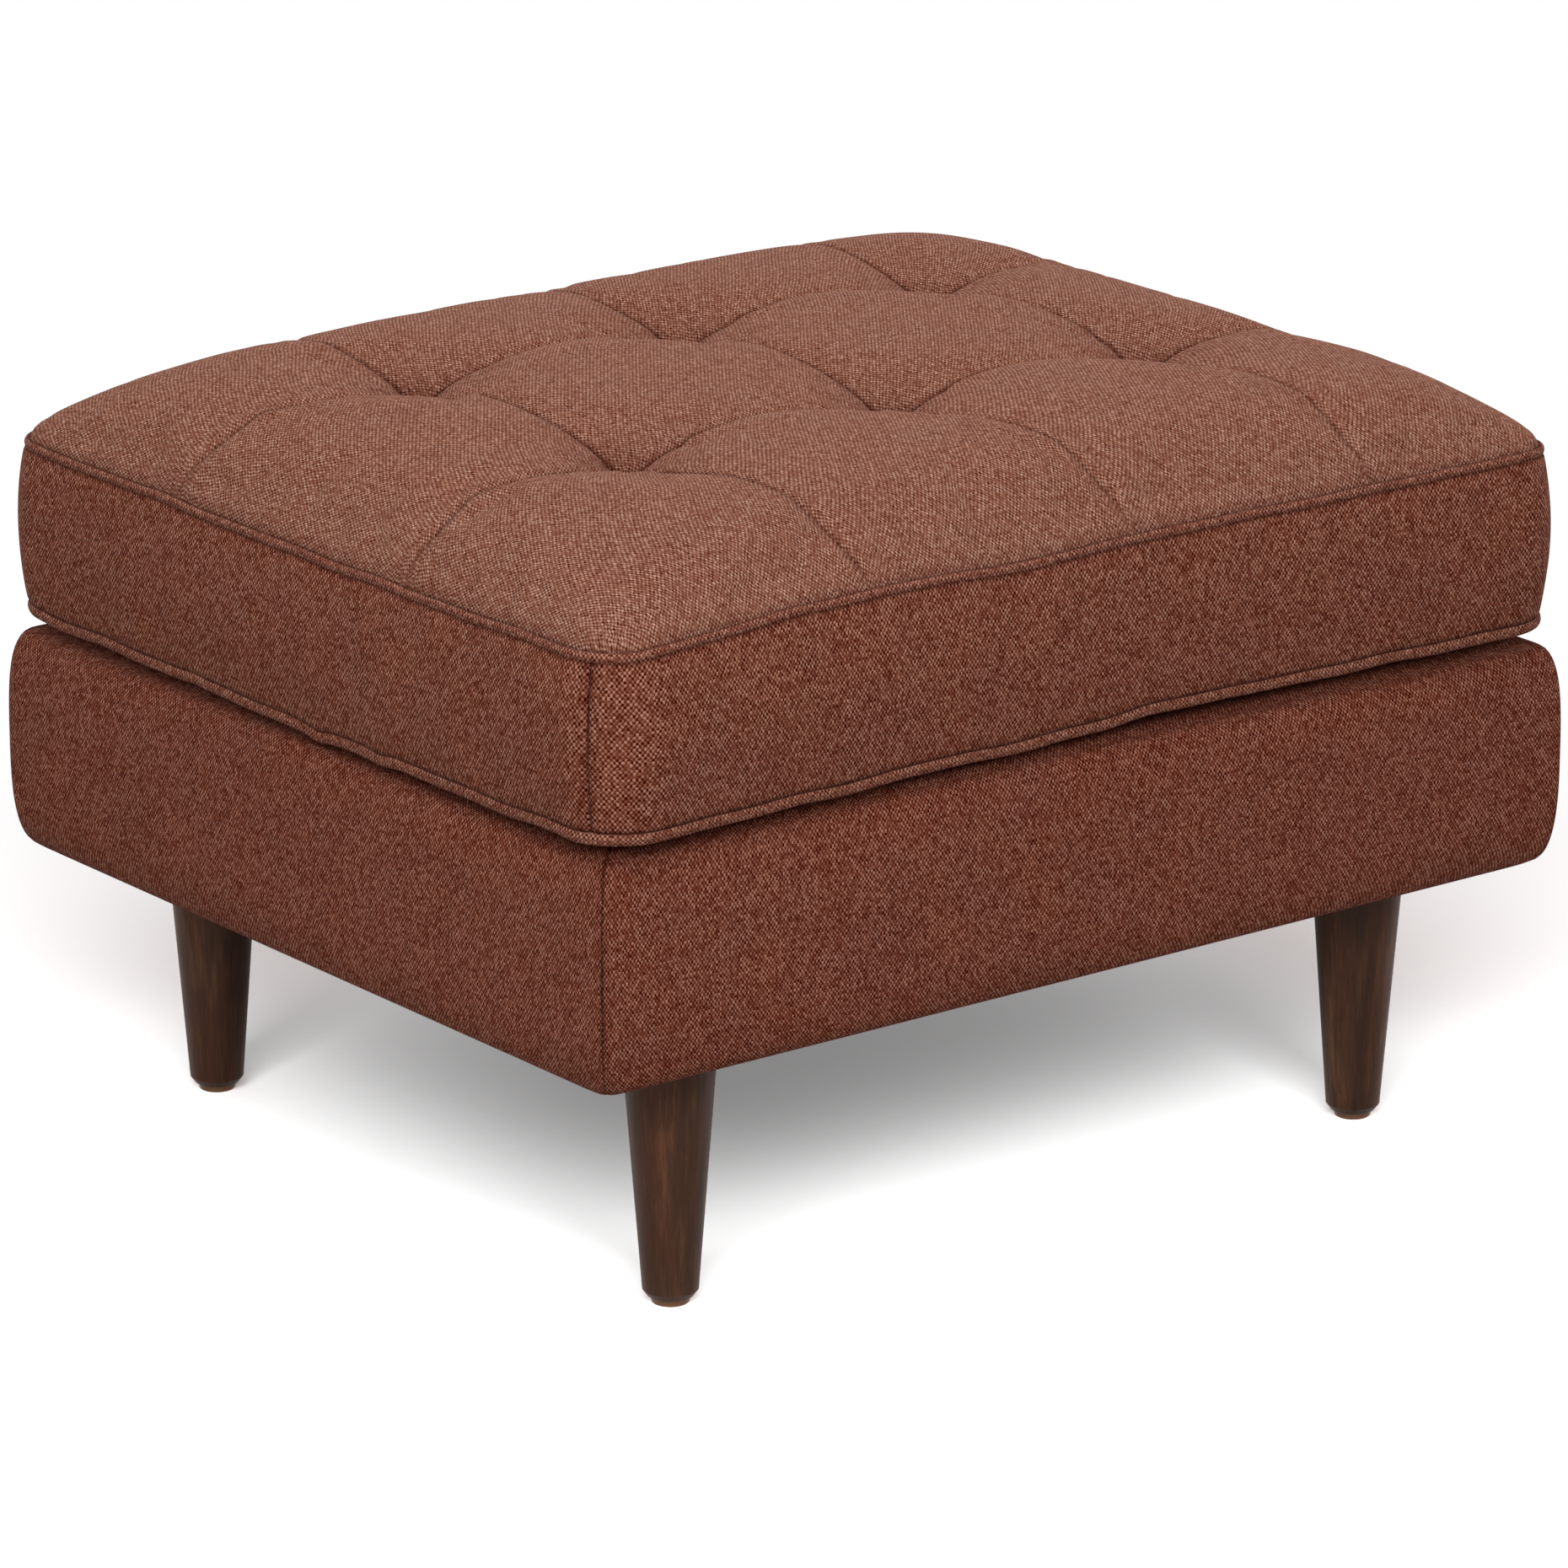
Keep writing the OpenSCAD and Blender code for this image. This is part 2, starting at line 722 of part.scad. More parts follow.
// Grid lines from edge to edge through the tufts
function grid_lines(edge, marks, inner, outer) = concat(
    [-edge],
    [for (k = [len(outer) - 1:-1:0]) marks[0] - (edge + marks[0]) * outer[k]],
    [for (m = [0:len(marks) - 1]) each concat(
        [marks[m]],
        m < len(marks) - 1 ? [for (s = inner) marks[m] + (marks[m + 1] - marks[m]) * s] : []
    )],
    [for (s = outer) marks[len(marks) - 1] + (edge - marks[len(marks) - 1]) * s],
    [edge]
);

// Height of the tufted top over the welt: a full crown, less the seams and the tufts
function near_seam(t, lines) = max([for (m = lines) exp(-pow((t - m) / seam_reach, 2))]);

function crown(x, y) =
    let (
        u = min(1, abs(x) / panel_w),
        v = min(1, abs(y) / panel_d),
        full = sqrt((1 - pow(u, crown_power)) * (1 - pow(v, crown_power))),
        seam = max(near_seam(x, tuft_lines_x), near_seam(y, tuft_lines_y)),
        tuft = max([for (t = tufts) exp(-norm([x, y] - t) / tuft_reach)])
    )
    full * (crown_h - seam_dip * seam - tuft_dip * tuft);

// A closed sheet between two height functions given on one grid of plan points
module sheet_solid(low, high, cols, rows) {
    n = cols * rows;
    function at(i, j) = i * rows + j;
    // Each quad is split along the diagonal that points at the middle
    function quad(i, j, a) =
        let (p = a + at(i, j), q = a + at(i + 1, j), r = a + at(i + 1, j + 1), s = a + at(i, j + 1))
        ((i + 0.5 - (cols - 1) / 2) * (j + 0.5 - (rows - 1) / 2) > 0)
            ? [[p, r, q], [p, s, r]] : [[p, s, q], [q, s, r]];
    top = [for (i = [0:cols - 2], j = [0:rows - 2]) each quad(i, j, n)];
    bottom = [for (i = [0:cols - 2], j = [0:rows - 2]) for (f = quad(i, j, 0)) [f[0], f[2], f[1]]];
    rim = concat(
        [for (i = [0:cols - 2]) at(i, 0)], [for (j = [0:rows - 2]) at(cols - 1, j)],
        [for (i = [cols - 1:-1:1]) at(i, rows - 1)], [for (j = [rows - 1:-1:1]) at(0, j)]
    );
    m = len(rim);
    wall = [
        for (k = [0:m - 1]) let (a = rim[k], b = rim[(k + 1) % m])
            each [[a, b + n, b], [a, a + n, b + n]]
    ];
    polyhedron(points = concat(low, high), faces = concat(top, bottom, wall), convexity = 10);
}

top_xs = grid_lines(panel_w, tuft_lines_x, inner_shares, edge_shares);
top_ys = grid_lines(panel_d, tuft_lines_y, inner_shares, edge_shares);

function tufted_points(lift) = [
    for (x = top_xs, y = top_ys)
        let (p = plan(x, y, panel_w, panel_d, panel_r)) [p[0], p[1], top_welt_z + crown(x, y) + lift]
];

module top_panel() {
    color(rust) sheet_solid(tufted_points(-cloth_t), tufted_points(0), len(top_xs), len(top_ys));
}

// Fibre between the foam and the top panel
fibre_lift = -cloth_t - soft_gap;

module fibre_top() {
    flat = [for (p = tufted_points(0)) [p[0], p[1], foam_z1 + soft_gap]];
    color(foam_white) difference() {
        sheet_solid(flat, tufted_points(fibre_lift), len(top_xs), len(top_ys));
        crown_block(soft_gap);
        at_tufts() translate([0, 0, foam_z1 - 1]) cylinder(d = twine_hole_d, h = crown_h + foam_t);
    }
}

module at_tufts() {
    for (t = tufts) translate([t[0], t[1], 0]) children();
}

// The soft crown foam: a low block with sloping sides
module crown_block(grow) {
    x = panel_w - crown_foam_inset + grow;
    y = panel_d - crown_foam_inset + grow;
    h = crown_foam_t + grow;
    slope = 1.5 * crown_foam_t;
    intersection() {
        rotate([90, 0, 0]) linear_extrude(2 * y, center = true)
            polygon([[-x, foam_z1], [x, foam_z1], [x - slope, foam_z1 + h], [slope - x, foam_z1 + h]]);
        rotate([90, 0, 90]) linear_extrude(2 * x, center = true)
            polygon([[-y, foam_z1], [y, foam_z1], [y - slope, foam_z1 + h], [slope - y, foam_z1 + h]]);
    }
}

module crown_foam() {
    color(foam_white) difference() {
        crown_block(0);
        at_tufts() translate([0, 0, foam_z1 - 1]) cylinder(d = twine_hole_d, h = crown_foam_t + 2);
    }
}

// The foam core, with rounded corners and its lower edges cut back over the sagging underside
module seat_foam() {
    r = foam_r;
    color(foam_white) difference() {
        intersection() {
            translate([0, 0, foam_z0]) linear_extrude(foam_t) union() {
                square([2 * foam_x, 2 * (foam_y - r)], center = true);
                square([2 * (foam_x - r), 2 * foam_y], center = true);
                for (sx = [-1, 1], sy = [-1, 1]) translate([sx * (foam_x - r), sy * (foam_y - r)])
                    circle(r = r);
            }
            rotate([90, 0, 0]) linear_extrude(far, center = true) polygon(foam_side(foam_x));
            rotate([90, 0, 90]) linear_extrude(far, center = true) polygon(foam_side(foam_y));
        }
        at_tufts() {
            translate([0, 0, foam_z0 - 1]) cylinder(d = twine_hole_d, h = foam_t + 2);
            translate([0, 0, foam_z0 - 1]) cylinder(d = tuft_pad_d + 1, h = tuft_pad_t + 1 + soft_gap);
        }
    }
}

// Side view of the foam core: its lower edge slopes up to clear the underside of the cushion
function foam_side(half) = [
    [-half + 130, foam_z0], [half - 130, foam_z0], [half - 60, foam_z0 + under_sag / 4],
    [half, foam_z0 + under_sag + 4], [half, foam_z1], [-half, foam_z1],
    [-half, foam_z0 + under_sag + 4], [-half + 60, foam_z0 + under_sag / 4]
];

// Twine from each pad up to the tuft
module tuft_twine() {
    top = top_welt_z + crown(tufts[0][0], tufts[0][1]) - cloth_t;
    color(foam_white) at_tufts() translate([0, 0, foam_z0 + tuft_pad_t])
        cylinder(d = twine_d, h = top - foam_z0 - tuft_pad_t - 0.05);
}

module tuft_pads() {
    color(black) at_tufts() translate([0, 0, foam_z0]) cylinder(d = tuft_pad_d, h = tuft_pad_t);
}

// Underside of the cushion: flat on the deck, curving up to the bottom welt

under_shares = [0.4, 0.75, 0.92];
under_mids = [0.5];
under_xs = grid_lines(panel_w, tuft_lines_x, under_mids, under_shares);
under_ys = grid_lines(panel_d, tuft_lines_y, under_mids, under_shares);

function sag(x, y) =
    let (u = min(1, abs(x) / panel_w), v = min(1, abs(y) / panel_d))
    under_sag * (1 - sqrt((1 - pow(u, under_power)) * (1 - pow(v, under_power))));

function under_points(lift) = [
    for (x = under_xs, y = under_ys)
        let (p = plan(x, y, panel_w, panel_d, panel_r)) [p[0], p[1], under_z + sag(x, y) + lift]
];

module bottom_panel() {
    color(rust) sheet_solid(under_points(0), under_points(cloth_t), len(under_xs), len(under_ys));
}

// Side band and welts, round the cushion's outline

edge_xs = grid_lines(half_w, tuft_lines_x, inner_shares, edge_shares);
edge_ys = grid_lines(half_d, tuft_lines_y, inner_shares, edge_shares);
last_x = len(edge_xs) - 1;
last_y = len(edge_ys) - 1;

// Plain rectangle points, anticlockwise from the front left corner
rim_points = concat(
    [for (i = [0:last_x - 1]) [edge_xs[i], -half_d]],
    [for (j = [0:last_y - 1]) [half_w, edge_ys[j]]],
    [for (i = [last_x:-1:1]) [edge_xs[i], half_d]],
    [for (j = [last_y:-1:1]) [-half_w, edge_ys[j]]]
);
outline = [for (p = rim_points) plan(p[0], p[1], half_w, half_d, cushion_r)];
rim_n = len(outline);

// Direction out of the cushion at one point of the closed outline
function outward(i) =
    let (t = unit(outline[(i + 1) % rim_n] - outline[(i + rim_n - 1) % rim_n]))
    [t[1], -t[0]];

// A welt: one closed tube along the outline
module welt(z) {
    sides = 6;
    points = [
        for (i = [0:rim_n - 1])
            let (out = outward(i))
            for (k = [0:sides - 1])
                let (turn = 30 + 360 * k / sides)
                [outline[i][0] + welt_r * cos(turn) * out[0],
                 outline[i][1] + welt_r * cos(turn) * out[1], z + welt_r * sin(turn)]
    ];
    faces = [
        for (i = [0:rim_n - 1], k = [0:sides - 1])
            let (
                a = i * sides + k, b = i * sides + (k + 1) % sides,
                c = ((i + 1) % rim_n) * sides + k, d = ((i + 1) % rim_n) * sides + (k + 1) % sides
            )
            each [[a, b, d], [a, d, c]]
    ];
    polyhedron(points = points, faces = faces, convexity = 10);
}

module top_welt() { color(rust) welt(top_welt_z); }
module bottom_welt() { color(rust) welt(low_welt_z); }

band_levels = [-1, -0.55, 0, 0.55, 1];

function band_out(level) = band_bulge * (1 - level * level);

// One strip of the side band; each entry of its line is a plan point and the way out there
module band_strip(line) {
    n = len(line);
    m = len(band_levels);
    function place(i, level, inset) =
        let (p = line[i][0], out = line[i][1], push = band_out(level) - inset)
        [p[0] + push * out[0], p[1] + push * out[1], band_zc + level * (band_z1 - band_z0) / 2];
    outer = [for (i = [0:n - 1], level = band_levels) place(i, level, 0)];
    inner = [for (i = [0:n - 1], level = band_levels) place(i, level, cloth_t)];
    o = n * m;
    skin = [
        for (i = [0:n - 2], k = [0:m - 2])
            let (a = i * m + k, b = a + 1, c = a + m, d = c + 1)
            each [[a, b, d], [a, d, c], [o + a, o + d, o + b], [o + a, o + c, o + d]]
    ];
    edges = [
        for (i = [0:n - 2])
            let (a = i * m, c = a + m, b = a + m - 1, d = b + m)
            each [[a, c, o + c], [a, o + c, o + a], [b, o + d, d], [b, o + b, o + d]]
    ];
    caps = [
        for (k = [0:m - 2])
            let (a = k, b = k + 1, c = (n - 1) * m + k, d = c + 1)
            each [[a, o + b, b], [a, o + a, o + b], [c, d, o + d], [c, o + d, o + c]]
    ];
    polyhedron(points = concat(outer, inner), faces = concat(skin, edges, caps), convexity = 10);
}

// The run of the outline between two of its points, and on to the zip where it reaches the back
function run(first, last) = [for (i = [first:last]) [outline[i % rim_n], outward(i % rim_n)]];

front_right = last_x;
back_right = last_x + last_y;

zip_corner = [[back_flat, back_y], [0, 1]];

function before_zip(line) = [for (e = line) if (e[0][1] < 0 || e[0][0] > back_flat + 1) e];

right_run = concat(before_zip(run(front_right, back_right + 8)), [zip_corner]);
left_run = [
    for (i = [len(right_run) - 1:-1:0])
        [for (v = right_run[i]) [-v[0], v[1]]]
];

module boxing_front() { color(rust) band_strip(run(0, front_right)); }
module boxing_right() { color(rust) band_strip(right_run); }
module boxing_left() { color(rust) band_strip(left_run); }

// Side view of the back strips between two levels of the band
function strip_line(level0, level1, inset) = [
    for (i = [0:4])
        let (level = level0 + (level1 - level0) * i / 4)
        [back_y + band_out(level) - inset, band_zc + level * (band_z1 - band_z0) / 2]
];

module back_strip(level0, level1) {
    along_x(back_flat)
        polygon(concat(strip_line(level0, level1, 0), turned_back(strip_line(level0, level1, cloth_t))));
}

gap_level = zip_gap / (band_z1 - band_z0);

module zip_strip_upper() { color(rust) back_strip(gap_level, 1); }
module zip_strip_lower() { color(rust) back_strip(-1, -gap_level); }

// Zip

module zip_tape() {
    color(black) for (side = [0, 1]) translate([0, 0, zip_z]) mirror([0, 0, side])
        translate([-back_flat, tape_y1 - tape_t, teeth_z])
            cube([2 * back_flat, tape_t, tape_w - teeth_z]);
}

// Two rows of teeth, each a bar with cross ribs on its face
module zip_teeth() {
    rib_l = tooth_pitch / 2;
    bar_t = teeth_t / 2;
    color(steel) for (side = [0, 1]) translate([0, 0, zip_z]) mirror([0, 0, side]) {
        translate([-zip_l / 2, tape_yc - teeth_t / 2, teeth_gap / 2]) cube([zip_l, bar_t, teeth_w]);
        for (x = [-zip_l / 2:tooth_pitch:zip_l / 2 - rib_l])
            translate([x, tape_yc - teeth_t / 2, teeth_gap / 2]) cube([rib_l, teeth_t, teeth_w]);
    }
}

module zip_stops() {
    color(steel) for (side = [-1, 1])
        translate([side * (zip_l / 2 - stop_l / 2), tape_yc + teeth_t / 2 + plate_t / 2, zip_z])
            cube([stop_l, plate_t, 2 * teeth_z], center = true);
}

module zip_slider() {
    lip = 0.7;
    back_y0 = tape_yc - teeth_t / 2 - zip_fit - plate_t;
    color(steel) translate([slider_x, 0, zip_z]) difference() {
        union() {
            translate([-slider_l / 2, plate_y0, -plate_h / 2]) cube([slider_l, plate_t, plate_h]);
            translate([-slider_l / 2, back_y0, -plate_h / 2]) cube([slider_l, plate_t, plate_h]);
            translate([-slider_l / 6, back_y0, -web_t / 2])
                cube([slider_l / 3, plate_y1 - back_y0, web_t]);
            for (side = [0, 1]) mirror([0, 0, side])
                translate([-slider_l / 2, tape_y1 + zip_fit, plate_h / 2 - lip])
                    cube([slider_l, plate_y1 - tape_y1 - zip_fit, lip]);
            translate([-bail_l / 2, plate_y0, -bail_w / 2])
                cube([bail_l, bail_y + pivot_d - plate_y0 + bail_t, bail_w]);
        }
        translate([bail_t - bail_l / 2, plate_y1, -bail_w])
            cube([bail_l - 2 * bail_t, bail_y + pivot_d - plate_y1, 2 * bail_w]);
    }
}

// The pull turns on the slider's bail; at rest it lies along the zip, towards the closed end
module zip_pull() {
    arm_z = bail_w / 2 + zip_fit;
    reach = bail_l / 2 + zip_fit + 1;
    color(steel) translate([slider_x, bail_y, zip_z]) {
        translate([0, 0, -arm_z - pull_arm]) cylinder(d = pivot_d, h = 2 * (arm_z + pull_arm));
        for (side = [-1, 1])
            translate([-reach - 1, -pivot_d / 2, side * (arm_z + pull_arm / 2) - pull_arm / 2])
                cube([reach + 1, pivot_d, pull_arm]);
        difference() {
            translate([-pull_l, -pivot_d / 2, -pull_w / 2]) cube([pull_l - reach, pivot_d, pull_w]);
            translate([-pull_l + 4, 0, 0]) rotate([90, 0, 0])
                cylinder(d = pull_hole_d, h = 3 * pivot_d, center = true);
        }
    }
}

front_rail();
back_rail();
left_rail();
right_rail();
centre_stretcher();
corner_blocks();
frame_screws();
tee_nuts();
hanger_bolts();
leg_front_left();
leg_front_right();
leg_back_left();
leg_back_right();
foot_glides();
glide_nails();
sinuous_springs();
spring_clips();
clip_nails();
tie_wires();
tie_clips();
spring_cover();
deck_padding();
deck_cloth();
padding_front();
padding_back();
padding_left();
padding_right();
cover_front();
cover_back();
cover_left();
cover_right();
dust_cover();
seat_foam();
crown_foam();
fibre_top();
top_panel();
bottom_panel();
boxing_front();
boxing_left();
boxing_right();
zip_strip_upper();
zip_strip_lower();
zip_tape();
zip_teeth();
zip_stops();
top_welt();
bottom_welt();
tuft_twine();
tuft_pads();
zip_slider();
zip_pull();
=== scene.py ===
"""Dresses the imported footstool: heathered cloth, piping, walnut legs and the photo's studio."""

import json
import logging
import math
from dataclasses import dataclass, field
from enum import Enum
from typing import Callable, Union

import bpy
import numpy as np
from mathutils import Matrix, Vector


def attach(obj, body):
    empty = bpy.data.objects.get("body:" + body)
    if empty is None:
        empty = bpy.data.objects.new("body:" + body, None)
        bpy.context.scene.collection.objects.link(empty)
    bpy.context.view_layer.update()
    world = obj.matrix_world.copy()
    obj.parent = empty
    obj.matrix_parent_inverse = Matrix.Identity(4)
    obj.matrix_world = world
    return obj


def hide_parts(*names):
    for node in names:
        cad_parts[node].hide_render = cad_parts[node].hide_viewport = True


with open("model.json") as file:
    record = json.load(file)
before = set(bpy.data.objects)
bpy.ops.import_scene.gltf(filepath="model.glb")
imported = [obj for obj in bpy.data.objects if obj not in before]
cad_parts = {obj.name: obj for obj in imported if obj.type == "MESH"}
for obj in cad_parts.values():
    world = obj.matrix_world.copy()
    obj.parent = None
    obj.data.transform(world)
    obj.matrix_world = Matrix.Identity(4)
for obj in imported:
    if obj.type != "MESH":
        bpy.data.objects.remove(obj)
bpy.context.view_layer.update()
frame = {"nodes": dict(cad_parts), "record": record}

LOG = logging.getLogger("footstool")
MM = 0.001
CLOTH_WALL = 1.2 * MM
WELD_REACH = 0.02 * MM
SURE = 1e-6

# x, y and z of many places at once
Surface = tuple[np.ndarray, np.ndarray, np.ndarray]


# ---------------------------------------------------------------- shader maths


@dataclass(frozen=True)
class Value:
    """A node socket that Python's operators work on."""

    graph: "Graph"
    socket: bpy.types.NodeSocket

    def _math(self, operation: str, *others: "Number") -> "Value":
        """Returns the result of one Math node on this value and the others."""
        sockets = {index: item for index, item in enumerate((self, *others))}
        return self.graph.node("ShaderNodeMath", {"operation": operation}, sockets)["Value"]

    def __add__(self, other: "Number") -> "Value":
        """Returns this plus other."""
        return self._math("ADD", other)

    __radd__ = __add__

    def __sub__(self, other: "Number") -> "Value":
        """Returns this less other."""
        return self._math("SUBTRACT", other)

    def __rsub__(self, other: float) -> "Value":
        """Returns other less this."""
        return (self * -1.0) + other

    def __mul__(self, other: "Number") -> "Value":
        """Returns this times other."""
        return self._math("MULTIPLY", other)

    __rmul__ = __mul__

    def __truediv__(self, other: "Number") -> "Value":
        """Returns this over other."""
        return self._math("DIVIDE", other)

    def __pow__(self, other: "Number") -> "Value":
        """Returns this to the power of other."""
        return self._math("POWER", other)

    def __gt__(self, other: "Number") -> "Value":
        """Returns 1 where this is above other, and 0 elsewhere."""
        return self._math("GREATER_THAN", other)

    def sin(self) -> "Value":
        """Returns the sine."""
        return self._math("SINE")

    def abs(self) -> "Value":
        """Returns the size without its sign."""
        return self._math("ABSOLUTE")

    def floor(self) -> "Value":
        """Returns the whole number below."""
        return self._math("FLOOR")

    def clamp(self) -> "Value":
        """Returns this held between 0 and 1."""
        return self.clamp_to(1.0, 0.0)

    def clamp_to(self, high: float, low: Union[float, None] = None) -> "Value":
        """Returns this held between low and high, where low is -high unless it is given."""
        return self._math("MAXIMUM", -high if low is None else low)._math("MINIMUM", high)

    def mix(self, low: "Number", high: "Number") -> "Value":
        """Returns low where this is 0 and high where it is 1."""
        return self * high + (1.0 - self) * low


Number = Union[float, Value]
Colour = tuple[float, float, float]


@dataclass(frozen=True)
class Outputs:
    """The outputs of one node, by name."""

    graph: "Graph"
    node: bpy.types.Node

    def __getitem__(self, name: str) -> Value:
        """Returns the output socket of that name."""
        return Value(self.graph, self.node.outputs[name])


class Graph:
    """A material's node tree with one Principled shader."""

    def __init__(self, name: str) -> None:
        """Makes an empty material.

        Args:
            name: the material's name.
        """
        self.material = bpy.data.materials.new(name)
        self.material.use_nodes = True
        self.tree = self.material.node_tree
        self.tree.nodes.clear()
        self.end = self.tree.nodes.new("ShaderNodeOutputMaterial")

    def node(
        self, kind: str, settings: dict[str, object], sockets: dict[Union[str, int], object]
    ) -> Outputs:
        """Adds a node.

        Args:
            kind: the node's type.
            settings: its own settings, set first; "stops" are a ramp's places and colours.
            sockets: a value or a link for each input, by name or number.

        Returns:
            The node's outputs.
        """
        made = self.tree.nodes.new(kind)
        for name, setting in settings.items():
            if name == "stops":
                self._set_stops(made, setting)
            else:
                setattr(made, name, setting)
        for key, value in sockets.items():
            if isinstance(value, Value):
                self.tree.links.new(value.socket, made.inputs[key])
            else:
                made.inputs[key].default_value = value
        return Outputs(self, made)

    @staticmethod
    def _set_stops(made: bpy.types.Node, stops: list[tuple[float, Colour]]) -> None:
        """Gives a ramp its stops.

        Args:
            made: the ramp's node.
            stops: a place from 0 to 1 and a colour for each stop.
        """
        ramp = made.color_ramp
        while len(ramp.elements) < len(stops):
            ramp.elements.new(0.5)
        for element, (place, colour) in zip(ramp.elements, stops):
            element.position = place
            element.color = (*colour, 1.0)

    def vector(self, x: Number, y: Number, z: Number) -> Value:
        """Returns a vector of three numbers."""
        return self.node("ShaderNodeCombineXYZ", {}, {"X": x, "Y": y, "Z": z})["Vector"]

    def split(self, vector: Value) -> tuple[Value, Value, Value]:
        """Returns the three parts of a vector."""
        parts = self.node("ShaderNodeSeparateXYZ", {}, {"Vector": vector})
        return parts["X"], parts["Y"], parts["Z"]

    def noise(self, place: Value, scale: float, detail: float = 2.0, rough: float = 0.5) -> Value:
        """Returns a soft noise from 0 to 1 at a place."""
        sockets = {"Vector": place, "Scale": scale, "Detail": detail, "Roughness": rough}
        return self.node("ShaderNodeTexNoise", {}, sockets)["Fac"]

    def ramp(self, amount: Value, stops: list[tuple[float, Colour]]) -> Value:
        """Returns a colour for an amount from 0 to 1."""
        return self.node("ShaderNodeValToRGB", {"stops": stops}, {"Fac": amount})["Color"]

    def tint(self, colour: Value, red: Value, green: Value, blue: Value) -> Value:
        """Returns a colour with its three parts multiplied by the numbers given."""
        sockets = {0: colour, 1: self.vector(red, green, blue)}
        return self.node("ShaderNodeVectorMath", {"operation": "MULTIPLY"}, sockets)["Vector"]

    def bump(self, height: Value, distance: float, strength: float = 1.0) -> Value:
        """Returns a normal that follows a height from 0 to 1, of that distance in metres."""
        sockets = {"Height": height, "Distance": distance, "Strength": strength}
        return self.node("ShaderNodeBump", {}, sockets)["Normal"]

    def finish(self, sockets: dict[str, object]) -> bpy.types.Material:
        """Adds the Principled shader and returns the material.

        Args:
            sockets: a value or a link for each of the shader's inputs.

        Returns:
            The finished material.
        """
        shader = self.node("ShaderNodeBsdfPrincipled", {}, sockets)
        self.tree.links.new(shader["BSDF"].socket, self.end.inputs["Surface"])
        return self.material


def srgb(red: int, green: int, blue: int) -> Colour:
    """Turns a display colour into the linear numbers that a shader takes.

    Args:
        red: the red part, from 0 to 255.
        green: the green part.
        blue: the blue part.

    Returns:
        The linear colour, from 0 to 1.
    """

    def linear(value: int) -> float:
        """Returns one channel as a linear number."""
        part = value / 255.0
        return part / 12.92 if part <= 0.04045 else ((part + 0.055) / 1.055) ** 2.4

    return (linear(red), linear(green), linear(blue))


# ---------------------------------------------------------------- finishes


